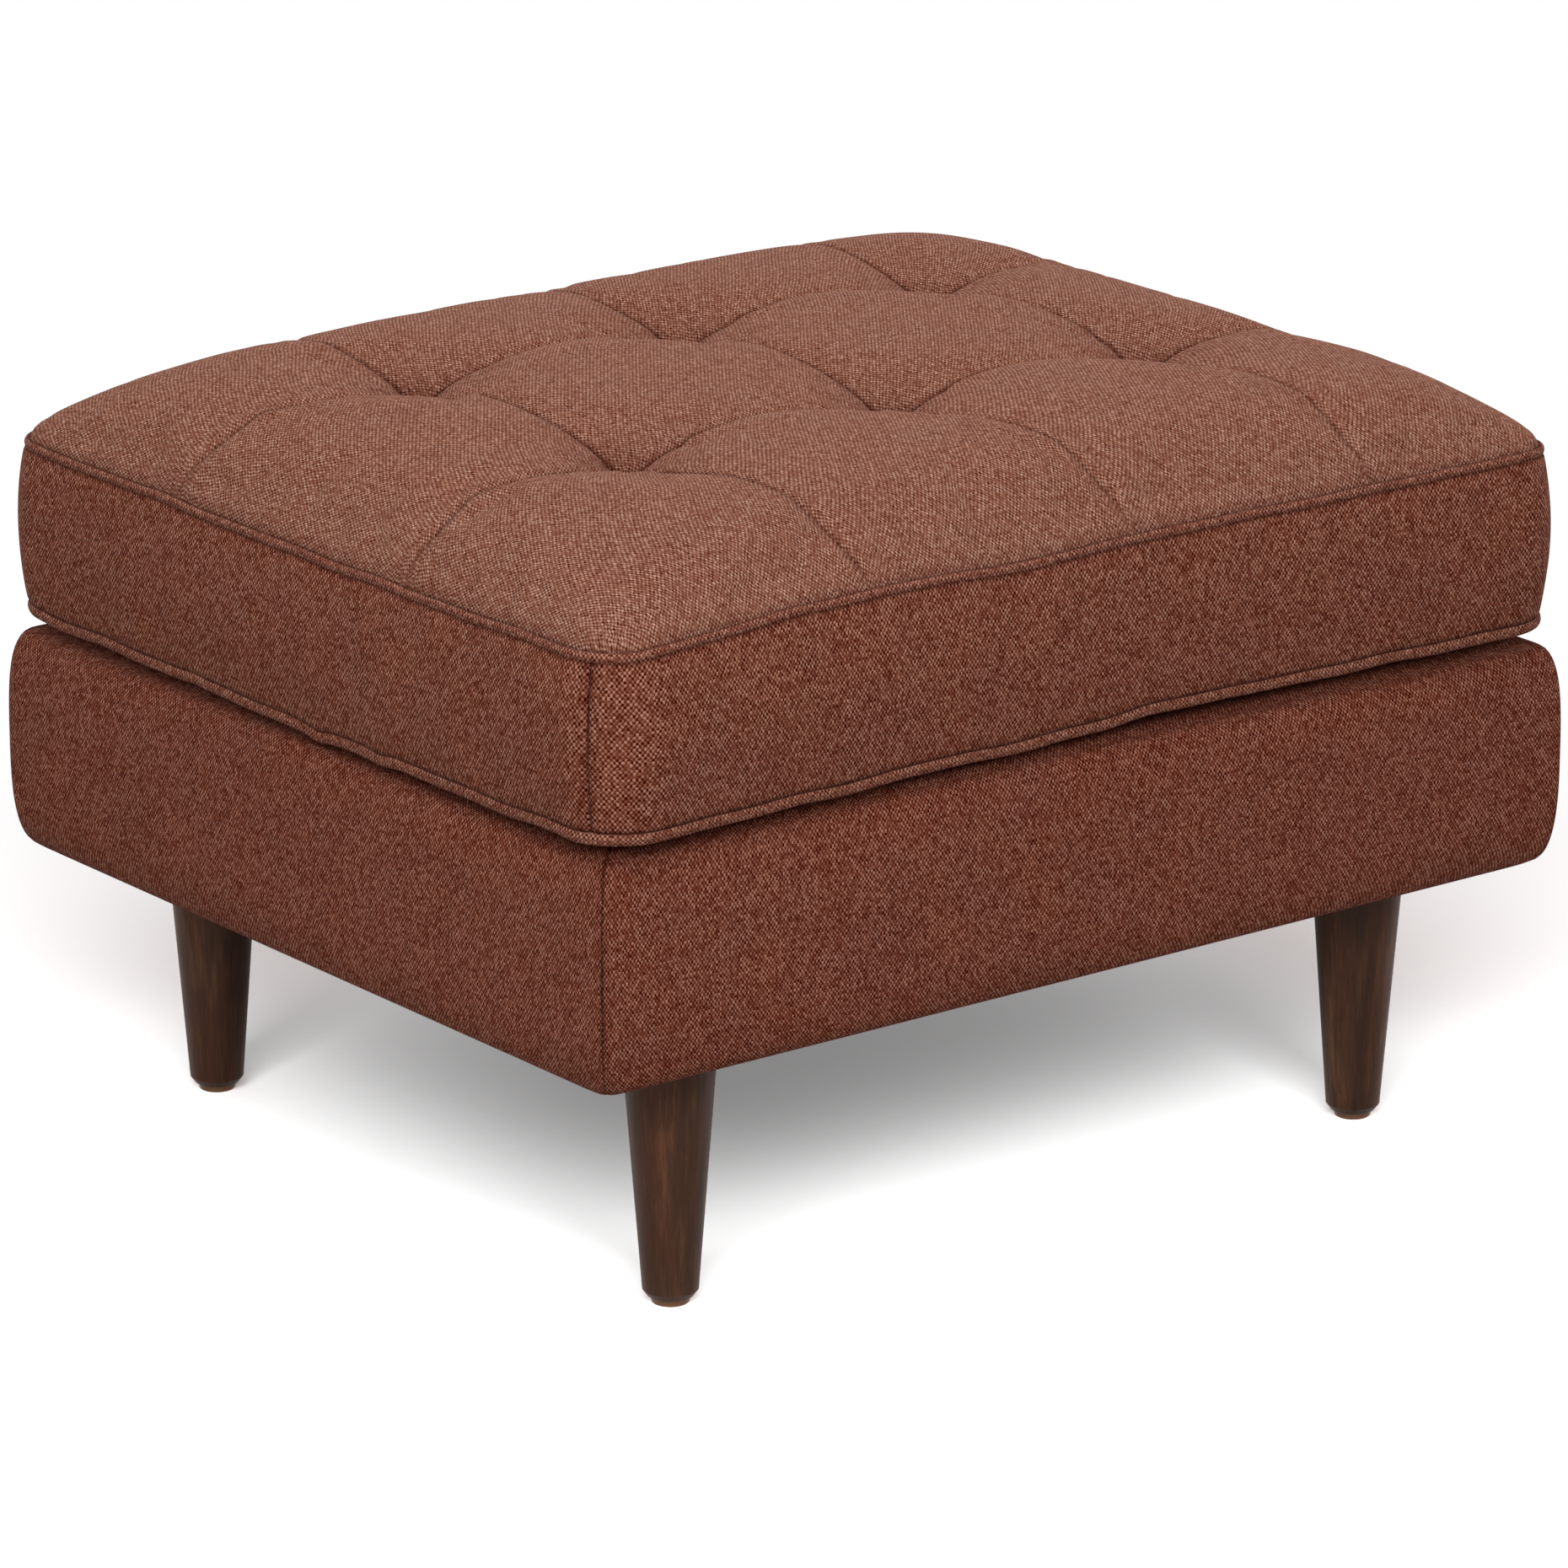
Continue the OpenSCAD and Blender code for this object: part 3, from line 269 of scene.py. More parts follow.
@dataclass(frozen=True)
class WovenCloth:
    """Heathered plain-weave cloth, on the piece's own flat lay in metres.

    Attributes:
        name: the material's name.
        dark: the darkest threads.
        middle: the usual threads.
        light: the lightest threads.
        warp_pitch: width of a warp thread.
        weft_pitch: width of a weft thread.
        contrast: how strongly the threads differ.
        drift: how far the dye drifts over the cloth.
        sheen: strength of the cloth's sheen.
        relief: height of the threads.
        wander_scale: how often the threads wander, per metre.
        warp_wander: how far the warps wander, in threads.
        weft_wander: how far the wefts wander, in threads.
        dye_shift: how the dye's drift moves each part of the colour.
        seam_shade: how much the seam mark, with its painted shade, darkens each part of the colour.
        sheen_tint: colour of the sheen.
    """

    name: str
    dark: Colour
    middle: Colour
    light: Colour
    warp_pitch: float = 1.38 * MM
    weft_pitch: float = 1.86 * MM
    contrast: float = 1.0
    drift: float = 0.55
    sheen: float = 0.1
    relief: float = 0.3 * MM
    wander_scale: float = 340.0
    warp_wander: float = 1.3
    weft_wander: float = 1.1
    dye_shift: Colour = (0.2, -0.08, -0.4)
    seam_shade: Colour = (0.66, 0.75, 0.78)
    sheen_tint: Colour = (1.0, 0.74, 0.64)

    def make(self) -> bpy.types.Material:
        """Makes the weave, its heathering, its dye and the painted shade of its seams.

        Returns:
            The material.
        """
        g = Graph(self.name)
        along, across, _ = g.split(g.node("ShaderNodeUVMap", {"uv_map": "UVMap"}, {})["UV"])
        warp_at, weft_at = self.count_threads(g, along, across)
        # Each crossing is a small mound; its sign says which thread lies on top
        wave = (warp_at * math.pi).sin() * (weft_at * math.pi).sin()
        mound = wave.abs() ** 0.7
        warp_over = wave > 0.0
        weave = mound * (warp_over * 2.0 - 1.0)
        patch = g.noise(g.vector(along, across, 1.3), 42.0, 3.0, 0.6)
        heather = self.shade_threads(g, warp_at, weft_at, warp_over) + patch * 0.06 - 0.615
        tone = (weave * 0.38 + heather) * self.contrast + 0.5
        colour = g.ramp(tone.clamp(), [(0.0, self.dark), (0.5, self.middle), (1.0, self.light)])
        fuzz = g.noise(g.vector(along, across, 5.9), 2600.0, 2.0, 0.7)
        return g.finish({
            "Base Color": self.dye(g, along, across, colour),
            "Roughness": 0.95,
            "Specular IOR Level": 0.03,
            "Sheen Weight": self.sheen,
            "Sheen Roughness": 0.15,
            "Sheen Tint": (*self.sheen_tint, 1.0),
            "Normal": g.bump(mound * 0.8 + fuzz * 0.2, self.relief, 0.9),
        })

    def count_threads(self, g: Graph, along: Value, across: Value) -> tuple[Value, Value]:
        """Counts the threads over the lay, wandering so that no regular pattern shows from afar.

        Args:
            g: the material's graph.
            along: the lay's first length.
            across: its second length.

        Returns:
            The number of warps and of wefts passed.
        """
        sway = g.noise(g.vector(along, across, 2.2), self.wander_scale, 2.0, 0.6) - 0.5
        swing = g.noise(g.vector(along, across, 6.4), self.wander_scale, 2.0, 0.6) - 0.5
        warp_at = along / self.warp_pitch + sway * self.warp_wander
        weft_at = across / self.weft_pitch + swing * self.weft_wander
        return warp_at, weft_at

    @staticmethod
    def shade_threads(g: Graph, warp_at: Value, weft_at: Value, warp_over: Value) -> Value:
        """Gives each thread shades along itself, and from thread to thread.

        Args:
            g: the material's graph.
            warp_at: the number of warps passed.
            weft_at: the number of wefts passed.
            warp_over: 1 where a warp lies on top, or else 0.

        Returns:
            The shade of the thread on top.
        """
        warp_no, weft_no = warp_at.floor(), weft_at.floor()
        warp_tone = g.noise(g.vector(warp_no * 0.83, weft_at * 0.37, 3.7), 1.0, 2.0, 0.7)
        weft_tone = g.noise(g.vector(warp_at * 0.37, weft_no * 0.83, 8.1), 1.0, 2.0, 0.7)
        fleck = g.node(
            "ShaderNodeTexWhiteNoise", {"noise_dimensions": "2D"},
            {"Vector": g.vector(warp_no, weft_no, 0.0)},
        )["Value"]
        return warp_over.mix(weft_tone, warp_tone) * 0.75 + fleck * 0.42

    def dye(self, g: Graph, along: Value, across: Value, colour: Value) -> Value:
        """Lets the dye drift a little between brown and plum, and paints shade by the seams.

        Args:
            g: the material's graph.
            along: the lay's first length.
            across: its second length.
            colour: the colour of the threads.

        Returns:
            The dyed colour.
        """
        wave = g.noise(g.vector(along, across, 7.7), 26.0, 2.0, 0.5) - 0.5
        shift = wave.clamp_to(0.5) * self.drift
        # The seam mark paints shade into creases, pits and grooves, besides dark seam lines
        seam = g.node("ShaderNodeAttribute", {"attribute_name": "seam"}, {})["Fac"]
        parts = [
            (shift * by + 1.0) * (1.0 - seam * shade)
            for by, shade in zip(self.dye_shift, self.seam_shade)
        ]
        return g.tint(colour, *parts)


@dataclass(frozen=True)
class TurnedWood:
    """Dark walnut, its grain running down each leg and centred beside the leg's axis.

    Attributes:
        name: the material's name.
        dark: the darkest grain.
        middle: the usual wood.
        light: the lightest grain.
        centre: x and y of the tree's heart beside the leg.
        seed: shifts the grain, so that no two legs are alike.
    """

    name: str
    dark: Colour
    middle: Colour
    light: Colour
    centre: tuple[float, float]
    seed: float = 0.0

    def make(self) -> bpy.types.Material:
        """Makes the rings, streaks, pores and heartwood under a satin lacquer.

        Returns:
            The material.
        """
        g = Graph(self.name)
        x, y, z = g.split(g.node("ShaderNodeTexCoord", {}, {})["Object"])
        x, y = x - self.centre[0], y - self.centre[1]
        drift = g.noise(g.vector(x * 9.0, y * 9.0, z * 2.2 + self.seed), 1.0, 2.0, 0.5)
        board = x * 0.86 + y * 0.5 + drift * 0.034
        rings = (board * 640.0 + drift * 6.0).sin() * 0.5 + 0.5
        streak = g.noise(g.vector(x * 420.0, y * 420.0, z * 11.0 + self.seed), 1.0, 4.0, 0.65)
        broad = g.noise(g.vector(x * 52.0, y * 52.0, z * 9.0 + self.seed), 1.0, 3.0, 0.6)
        pore = g.noise(g.vector(x * 1500.0, y * 1500.0, z * 36.0), 1.0, 2.0, 0.6)
        pores = ((pore - 0.6) * 7.0).clamp()
        tone = (rings * 0.1 + streak * 0.55 + broad * 0.85 - 0.28 - pores * 0.22).clamp()
        ground = g.ramp(tone, [(0.12, self.dark), (0.5, self.middle), (0.88, self.light)])
        # Heartwood: some places are redder than the rest
        heart = g.noise(g.vector(x * 40.0, y * 40.0, z * 12.0 + self.seed + 5.0), 1.0, 2.0, 0.5)
        heart = (heart - 0.5).clamp_to(0.5)
        colour = g.tint(ground, heart * 0.3 + 1.0, heart * -0.24 + 1.0, heart * -0.36 + 1.0)
        return g.finish({
            "Base Color": colour,
            "Roughness": streak * 0.16 + 0.34 + pores * 0.12,
            "Specular IOR Level": 0.14,
            "Normal": g.bump(1.0 - pores, 0.08 * MM, 0.6),
        })


@dataclass(frozen=True)
class PlainWood:
    """Planed frame wood, whose grain changes at its own rate along each axis."""

    name: str
    dark: Colour
    light: Colour
    rates: tuple[float, float, float]

    def make(self) -> bpy.types.Material:
        """Makes the bare wood, with broad and fine grain.

        Returns:
            The material.
        """
        g = Graph(self.name)
        x, y, z = g.split(g.node("ShaderNodeTexCoord", {}, {})["Object"])
        place = g.vector(x * self.rates[0], y * self.rates[1], z * self.rates[2])
        broad = g.noise(place, 24.0, 3.0, 0.6)
        fine = g.noise(place, 260.0, 3.0, 0.6)
        tone = (broad * 0.7 + fine * 0.45 - 0.1).clamp()
        return g.finish({
            "Base Color": g.ramp(tone, [(0.2, self.dark), (0.8, self.light)]),
            "Roughness": fine * 0.2 + 0.55,
            "Normal": g.bump(fine, 0.15 * MM, 0.5),
        })


@dataclass(frozen=True)
class Speckled:
    """A plain finish with fine variation: plastic, plated steel, foam, felt or lining.

    Attributes:
        name: the material's name.
        dark: its darker colour.
        light: its lighter colour.
        scale: how fine the variation is, per metre.
        roughness: the middle of its roughness.
        metallic: 1 for a metal, or else 0.
        relief: height of the fine bumps.
        coat: strength of a clear coat.
    """

    name: str
    dark: Colour
    light: Colour
    scale: float
    roughness: float
    metallic: float = 0.0
    relief: float = 0.05 * MM
    coat: float = 0.0

    def make(self) -> bpy.types.Material:
        """Makes the finish from one fine and one broad noise.

        Returns:
            The material.
        """
        g = Graph(self.name)
        place = g.node("ShaderNodeTexCoord", {}, {})["Object"]
        fine = g.noise(place, self.scale, 4.0, 0.6)
        broad = g.noise(place, self.scale / 17.0, 2.0, 0.5)
        tone = (fine * 0.6 + broad * 0.5 - 0.05).clamp()
        return g.finish({
            "Base Color": g.ramp(tone, [(0.2, self.dark), (0.8, self.light)]),
            "Roughness": fine * 0.15 + (self.roughness - 0.07),
            "Metallic": self.metallic,
            "Coat Weight": self.coat,
            "Normal": g.bump(fine, self.relief, 0.7),
        })


RUST = (srgb(72, 13, 3), srgb(133, 70, 50), srgb(206, 149, 127))
RUST_BASE = (srgb(72, 11, 3), srgb(132, 67, 48), srgb(204, 144, 122))
# The crown's copy of the cloth is lighter and greyer: painted light, for the stronger light on the
# top
RUST_TOP_PAINTED_LIGHT = (srgb(78, 24, 12), srgb(142, 87, 68), srgb(208, 165, 145))
RUST_PIPING = (srgb(74, 17, 7), srgb(135, 77, 59), srgb(204, 153, 133))
WALNUT = (srgb(45, 28, 20), srgb(86, 56, 40), srgb(138, 95, 69))


# ---------------------------------------------------------------- modelling


def deselect() -> None:
    """Leaves edit mode and deselects every object."""
    if bpy.context.object is not None and bpy.context.object.mode != "OBJECT":
        bpy.ops.object.mode_set(mode="OBJECT")
    bpy.ops.object.select_all(action="DESELECT")


def activate(obj: bpy.types.Object) -> None:
    """Makes obj the only selected object and the active one."""
    deselect()
    obj.select_set(True)
    bpy.context.view_layer.objects.active = obj


def finish_modifiers(obj: bpy.types.Object) -> None:
    """Applies every modifier of obj, in order."""
    activate(obj)
    for modifier in list(obj.modifiers):
        bpy.ops.object.modifier_apply(modifier=modifier.name)


def thicken(obj: bpy.types.Object, wall: float) -> None:
    """Gives a sheet a wall behind its face.

    Args:
        obj: the sheet.
        wall: the wall's thickness.
    """
    solid = obj.modifiers.new("wall", "SOLIDIFY")
    solid.thickness = wall
    solid.offset = -1.0
    finish_modifiers(obj)


def set_points(obj: bpy.types.Object, points: np.ndarray) -> None:
    """Moves the vertices of obj to points, given as rows of x, y and z."""
    obj.data.vertices.foreach_set("co", np.ascontiguousarray(points, dtype=np.float32).ravel())
    obj.data.update()


def get_points(mesh: bpy.types.Mesh) -> np.ndarray:
    """Returns a mesh's vertices as rows of x, y and z."""
    flat = np.empty(len(mesh.vertices) * 3, dtype=np.float32)
    mesh.vertices.foreach_get("co", flat)
    return flat.reshape(-1, 3).astype(float)


@dataclass
class ClothPiece:
    """A panel of cloth laid out on a grid, then shaped over what it covers.

    The grid's two directions are lengths on the flat cloth, in metres, and the weave follows them.

    Attributes:
        name: the piece's name.
        along: the grid's lines in its first direction.
        across: its lines in the second direction.
        closed: whether two edges meet and are welded, as round a tube.
        wall: thickness of the cloth, or 0 for none.
        true_lay: whether the weave follows the shaped surface's own lengths.
        column: each vertex's line in the first direction.
        row: its line in the second direction.
    """

    name: str
    along: np.ndarray
    across: np.ndarray
    closed: bool = False
    wall: float = CLOTH_WALL
    true_lay: bool = False
    column: np.ndarray = field(init=False, repr=False)
    row: np.ndarray = field(init=False, repr=False)

    def lay_out(self) -> bpy.types.Object:
        """Adds the flat grid, with its lengths in metres as its UV map.

        Returns:
            The grid's object.
        """
        deselect()
        bpy.ops.mesh.primitive_grid_add(
            x_subdivisions=len(self.along) - 1, y_subdivisions=len(self.across) - 1, size=2.0
        )
        obj = bpy.context.object
        obj.name = self.name
        flat = get_points(obj.data)
        self.column = np.rint((flat[:, 0] + 1.0) / 2.0 * (len(self.along) - 1)).astype(int)
        self.row = np.rint((flat[:, 1] + 1.0) / 2.0 * (len(self.across) - 1)).astype(int)
        corner = np.empty(len(obj.data.loops), dtype=np.int32)
        obj.data.loops.foreach_get("vertex_index", corner)
        lay = np.stack([self.along[self.column[corner]], self.across[self.row[corner]]], axis=1)
        obj.data.uv_layers[0].name = "UVMap"
        obj.data.uv_layers[0].data.foreach_set("uv", lay.astype(np.float32).ravel())
        return obj

    def lay_true(self, obj: bpy.types.Object, points: np.ndarray) -> None:
        """Lays the weave by the lengths along the shaped surface, from its middle.

        Args:
            obj: the shaped panel.
            points: its vertices.
        """
        grid = np.zeros((len(self.along), len(self.across), 3))
        grid[self.column, self.row] = points
        lengths = []
        for axis in (0, 1):
            steps = np.linalg.norm(np.diff(grid, axis=axis), axis=2)
            run = np.cumsum(np.insert(steps, 0, 0.0, axis=axis), axis=axis)
            middle = run.shape[axis] // 2
            lengths.append(run - np.take(run, [middle], axis=axis))
        corner = np.empty(len(obj.data.loops), dtype=np.int32)
        obj.data.loops.foreach_get("vertex_index", corner)
        at = (self.column[corner], self.row[corner])
        lay = np.stack([lengths[0][at], lengths[1][at]], axis=1)
        obj.data.uv_layers[0].data.foreach_set("uv", lay.astype(np.float32).ravel())

    def build(
        self,
        shape: Callable[[np.ndarray, np.ndarray], Surface],
        seam: Union[Callable[[np.ndarray, np.ndarray], np.ndarray], None] = None,
    ) -> bpy.types.Object:
        """Lays out the panel and shapes it.

        Args:
            shape: gives x, y and z for places along and across the flat cloth.
            seam: how dark a place is by a seam, as dark seam lines and painted shade, from 0 to 1.

        Returns:
            The finished object, with its wall inside the shaped face.
        """
        obj = self.lay_out()
        u, v = self.along[self.column], self.across[self.row]
        points = np.stack(shape(u, v), axis=1)
        set_points(obj, points)
        if self.true_lay:
            self.lay_true(obj, points)
        # The seam mark carries dark seam lines and painted shade in creases and grooves
        mark = obj.data.attributes.new("seam", "FLOAT", "POINT")
        amount = np.zeros(len(u)) if seam is None else seam(u, v)
        mark.data.foreach_set("value", amount.astype(np.float32))
        activate(obj)
        if self.closed:
            bpy.ops.object.mode_set(mode="EDIT")
            bpy.ops.mesh.select_all(action="SELECT")
            bpy.ops.mesh.remove_doubles(threshold=WELD_REACH)
            bpy.ops.mesh.normals_make_consistent(inside=False)
            bpy.ops.object.mode_set(mode="OBJECT")
        if self.wall > 0:
            thicken(obj, self.wall)
        bpy.ops.object.shade_smooth()
        return obj


@dataclass
class Settle:
    """Lets a pinned sheet of cloth fill out under pressure, to find its own small folds.

    Attributes:
        pressure: the push from inside.
        slack: how much larger the cloth is than its start, as a share.
        cap: the farthest that a vertex may move.
        frames: the number of steps.
    """

    pressure: float
    slack: float
    cap: float
    frames: int = 20

    def run(self, obj: bpy.types.Object, pinned: np.ndarray) -> np.ndarray:
        """Runs the cloth and removes the sheet.

        Args:
            obj: the sheet.
            pinned: which of its vertices are sewn down.

        Returns:
            How far each vertex moved.
        """
        start = get_points(obj.data)
        sewn = obj.vertex_groups.new(name="sewn")
        sewn.add([int(i) for i in np.flatnonzero(pinned)], 1.0, "REPLACE")
        cloth = obj.modifiers.new("cloth", "CLOTH")
        cloth.settings.quality = 7
        cloth.settings.mass = 0.25
        cloth.settings.tension_stiffness = 18.0
        cloth.settings.compression_stiffness = 12.0
        cloth.settings.shear_stiffness = 6.0
        cloth.settings.bending_stiffness = 0.35
        cloth.settings.air_damping = 4.0
        cloth.settings.vertex_group_mass = "sewn"
        cloth.settings.shrink_min = -self.slack
        cloth.settings.use_pressure = True
        cloth.settings.uniform_pressure_force = self.pressure
        cloth.settings.effector_weights.gravity = 0.0
        cloth.collision_settings.use_collision = False
        cloth.point_cache.frame_start = 1
        cloth.point_cache.frame_end = self.frames
        for step in range(1, self.frames + 1):
            bpy.context.scene.frame_set(step)
        shown = obj.evaluated_get(bpy.context.evaluated_depsgraph_get())
        moved = get_points(shown.data) - start
        bpy.context.scene.frame_set(1)
        bpy.data.objects.remove(obj)
        reach = np.linalg.norm(moved, axis=1, keepdims=True)
        return moved * np.minimum(1.0, self.cap / np.maximum(reach, 1e-9))


def between(
    grid: np.ndarray,
    rows: np.ndarray,
    columns: np.ndarray,
    at_row: np.ndarray,
    at_column: np.ndarray,
) -> np.ndarray:
    """Reads values on a grid at places between its lines.

    Args:
        grid: the values, by row and column, with one or more numbers each.
        rows: where the grid's rows lie.
        columns: where its columns lie.
        at_row: the places asked for, along the rows.
        at_column: the places asked for, along the columns.

    Returns:
        One set of numbers for each place.
    """
    i = np.clip(np.searchsorted(rows, at_row) - 1, 0, len(rows) - 2)
    j = np.clip(np.searchsorted(columns, at_column) - 1, 0, len(columns) - 2)
    s = np.clip((at_row - rows[i]) / (rows[i + 1] - rows[i]), 0, 1)[:, None]
    t = np.clip((at_column - columns[j]) / (columns[j + 1] - columns[j]), 0, 1)[:, None]
    return (
        grid[i, j] * (1 - s) * (1 - t) + grid[i + 1, j] * s * (1 - t)
        + grid[i, j + 1] * (1 - s) * t + grid[i + 1, j + 1] * s * t
    )


def ripple(u: np.ndarray, v: np.ndarray, seed: int, lengths: tuple[float, ...]) -> np.ndarray:
    """Makes a soft, fixed unevenness from waves that run in many directions.

    Args:
        u: places along the cloth.
        v: places across it.
        seed: picks the directions of the waves.
        lengths: the lengths of the waves, in metres.

    Returns:
        The unevenness, of about -1 to 1.
    """
    pick = np.random.default_rng(seed)
    waves_each = 4
    total = np.zeros_like(u)
    for length in lengths:
        for _ in range(waves_each):
            turn, shift = pick.uniform(0, 2 * math.pi, 2)
            run = u * math.cos(turn) + v * math.sin(turn)
            total += np.sin(2 * math.pi * run / length + shift)
    return total / (2.2 * math.sqrt(len(lengths) * waves_each))


# ---------------------------------------------------------------- the cushion


@dataclass
class CushionPlan:
    """The cushion's outline seen from above, as the CAD has it.

    Attributes:
        half_w: half of the width, at the centres of the piping.
        half_d: half of the depth, there too.
        radius: radius of the rounded corners.
        draw: how far the front, the back and the right side are drawn in.
        draw_left: how far the left side is drawn in.
        back_flat: half of the zip's straight length at the back.
        bulge: how far the band's middle stands out beyond its edges.
        band_out: how far its edges stand out.
        welt: radius of the upper piping.
        low_welt: radius of the lower piping.
        welt_flat: width of the piping's tube, as a share of its height.
        low_z: height of the lower piping.
        high_z: height of the upper piping.
        side_steps: the number of places on each side of the traced outline.
        length: length of the traced outline.
        corners: the lengths at which its four corners lie.
    """

    half_w: float = 376 * MM
    half_d: float = 322 * MM
    radius: float = 40 * MM
    draw: float = 12 * MM
    draw_left: float = 4 * MM
    back_flat: float = 258 * MM
    bulge: float = 5.4 * MM
    band_out: float = 2.3 * MM
    welt: float = 3.0 * MM
    low_welt: float = 4.0 * MM
    welt_flat: float = 0.72
    low_z: float = 330.9 * MM
    high_z: float = 436.9 * MM
    side_steps: int = 400
    length: float = field(init=False)
    corners: list[float] = field(init=False)
    _run: np.ndarray = field(init=False, repr=False)
    _px: np.ndarray = field(init=False, repr=False)
    _py: np.ndarray = field(init=False, repr=False)

    def place(
        self, x: np.ndarray, y: np.ndarray, inset: float
    ) -> tuple[np.ndarray, np.ndarray]:
        """Bends a plain rectangle into the cushion's outline.

        Args:
            x: places across the rectangle.
            y: places from front to back.
            inset: how far the rectangle lies inside the welts' centres.

        Returns:
            The bent x and y.
        """
        w, d, r = self.half_w - inset, self.half_d - inset, self.radius - inset
        p = np.maximum(0, (np.abs(x) - (w - r)) / r)
        q = np.maximum(0, (np.abs(y) - (d - r)) / r)
        bx = np.where(p > 0, np.sign(x) * (w - r + r * p * np.sqrt(1 - q * q / 2)), x)
        by = np.where(q > 0, np.sign(y) * (d - r + r * q * np.sqrt(1 - p * p / 2)), y)
        along_side = 1 - (by / d) ** 2
        along_front = 1 - (bx / w) ** 2
        # The back stays straight along the zip, and is drawn in beyond its ends
        beyond = self.half_w - 1.2 * self.radius - self.back_flat
        ease = np.clip((np.abs(bx) - self.back_flat) / beyond, 0, 1)
        ease = ease * ease * (3 - 2 * ease)
        pull = np.where(by > 0, 1 - ease * (1 - along_front), along_front)
        near_x = np.minimum(1, np.abs(bx) / w) ** 4
        near_y = np.minimum(1, np.abs(by) / d) ** 4
        draw_x = np.where(bx < 0, self.draw_left, self.draw)
        return (bx - np.sign(bx) * draw_x * near_x * along_side,
                by - np.sign(by) * self.draw * near_y * pull)

    def trace(self) -> None:
        """Walks once round the outline, from the front left corner and with the front first."""
        w, d = self.half_w, self.half_d
        side = np.linspace(-1, 1, self.side_steps, endpoint=False)
        ones = np.ones_like(side)
        x = np.concatenate([side * w, ones * w, -side * w, -ones * w])
        y = np.concatenate([-ones * d, side * d, ones * d, -side * d])
        px, py = self.place(x, y, 0.0)
        px, py = np.append(px, px[0]), np.append(py, py[0])
        run = np.concatenate([[0], np.cumsum(np.hypot(np.diff(px), np.diff(py)))])
        self.length = float(run[-1])
        self.corners = [float(run[corner * self.side_steps]) for corner in range(4)]
        self._run, self._px, self._py = run, px, py

    def nearest(self, x: np.ndarray, y: np.ndarray) -> np.ndarray:
        """Finds the part of the outline that lies in the direction of each place.

        Args:
            x: places from left to right.
            y: places from front to back.

        Returns:
            Lengths along the outline.
        """
        turn = np.unwrap(np.arctan2(self._py / self.half_d, self._px / self.half_w))
        asked = np.arctan2(y / self.half_d, x / self.half_w)
        return np.interp(np.mod(asked - turn[0], 2 * math.pi) + turn[0], turn, self._run)

    def at(self, s: np.ndarray) -> tuple[np.ndarray, np.ndarray, np.ndarray, np.ndarray]:
        """Finds places on the outline.

        Args:
            s: lengths along the outline.

        Returns:
            x, y and the two parts of the outward direction.
        """
        def spot(t: np.ndarray) -> tuple[np.ndarray, np.ndarray]:
            """Returns x and y at lengths along the outline."""
            t = np.mod(t, self.length)
            return np.interp(t, self._run, self._px), np.interp(t, self._run, self._py)

        step = 3 * MM
        x, y = spot(s)
        ax, ay = spot(s - step)
        bx, by = spot(s + step)
        tx, ty = bx - ax, by - ay
        long = np.hypot(tx, ty)
        return x, y, ty / long, -tx / long

    def welt_lift(self, s: np.ndarray, top: bool) -> np.ndarray:
        """Returns how far a welt strays up or down at lengths along the outline.

        The front of the upper welt is drawn up where the puffs pull on it, and the cushion's left
        side sags towards the base.

        Args:
            s: lengths along the outline.
            top: the upper welt, or else the lower one.

        Returns:
            The stray, in metres.
        """
        _, right, back, left = self.corners
        # Each mark is a length along the outline and a lift in millimetres
        if top:
            marks = (
                (0, 1.0), (0.035, 3.2), (0.135, 6.4), (0.19, 7.4), (0.245, 6.2), (0.29, 3.0),
                (0.345, 3.0), (0.395, 5.2), (0.45, 4.9), (0.5, 4.2), (0.6, 5.2), (0.705, 6.2),
                (right, 5.0), (right + 0.2, 1.5), (back, 0.5), (left, 0.6), (left + 0.1, -0.6),
                (left + 0.3, -2.4), (left + 0.36, -3.0), (left + 0.42, -2.0), (left + 0.5, -1.6),
                (left + 0.58, 0.4), (self.length, 1.0),
            )
        else:
            marks = (
                (0, -3.0), (0.05, -2.8), (0.16, -3.4), (0.24, -2.4), (0.31, -4.0), (0.37, -1.6),
                (0.42, 0.4), (0.6, -0.6), (right, 0.4), (back, 0.0), (left, -0.6),
                (left + 0.06, -3.2), (left + 0.2, -4.6), (left + 0.3, -6.4), (left + 0.37, -6.2),
                (left + 0.45, -5.4), (left + 0.53, -4.8), (left + 0.6, -3.4), (self.length, -3.0),
            )
        places, lifts = np.array(marks).T
        s = np.mod(s, self.length)
        i = np.clip(np.searchsorted(places, s, side="right") - 1, 0, len(places) - 2)
        t = (s - places[i]) / (places[i + 1] - places[i])
        lift = lifts[i] + (lifts[i + 1] - lifts[i]) * t * t * (3 - 2 * t)
        round_trip = 2 * math.pi * s / self.length
        waves = ((14, 4.0), (23, 0.8), (37, 2.6)) if top else ((17, 3.1), (29, 5.2), (41, 1.1))
        lift = lift + sum(0.25 * np.sin(n * round_trip + shift) for n, shift in waves)
        if not top:
            # Three short puckers on the left side
            puckers = ((0.335, -1.8, 0.008), (0.40, -1.5, 0.009), (0.2, 1.2, 0.011))
            for centre, depth, width in puckers:
                lift = lift + depth * np.exp(-(((s - left - centre) / width) ** 2))
        return lift * MM


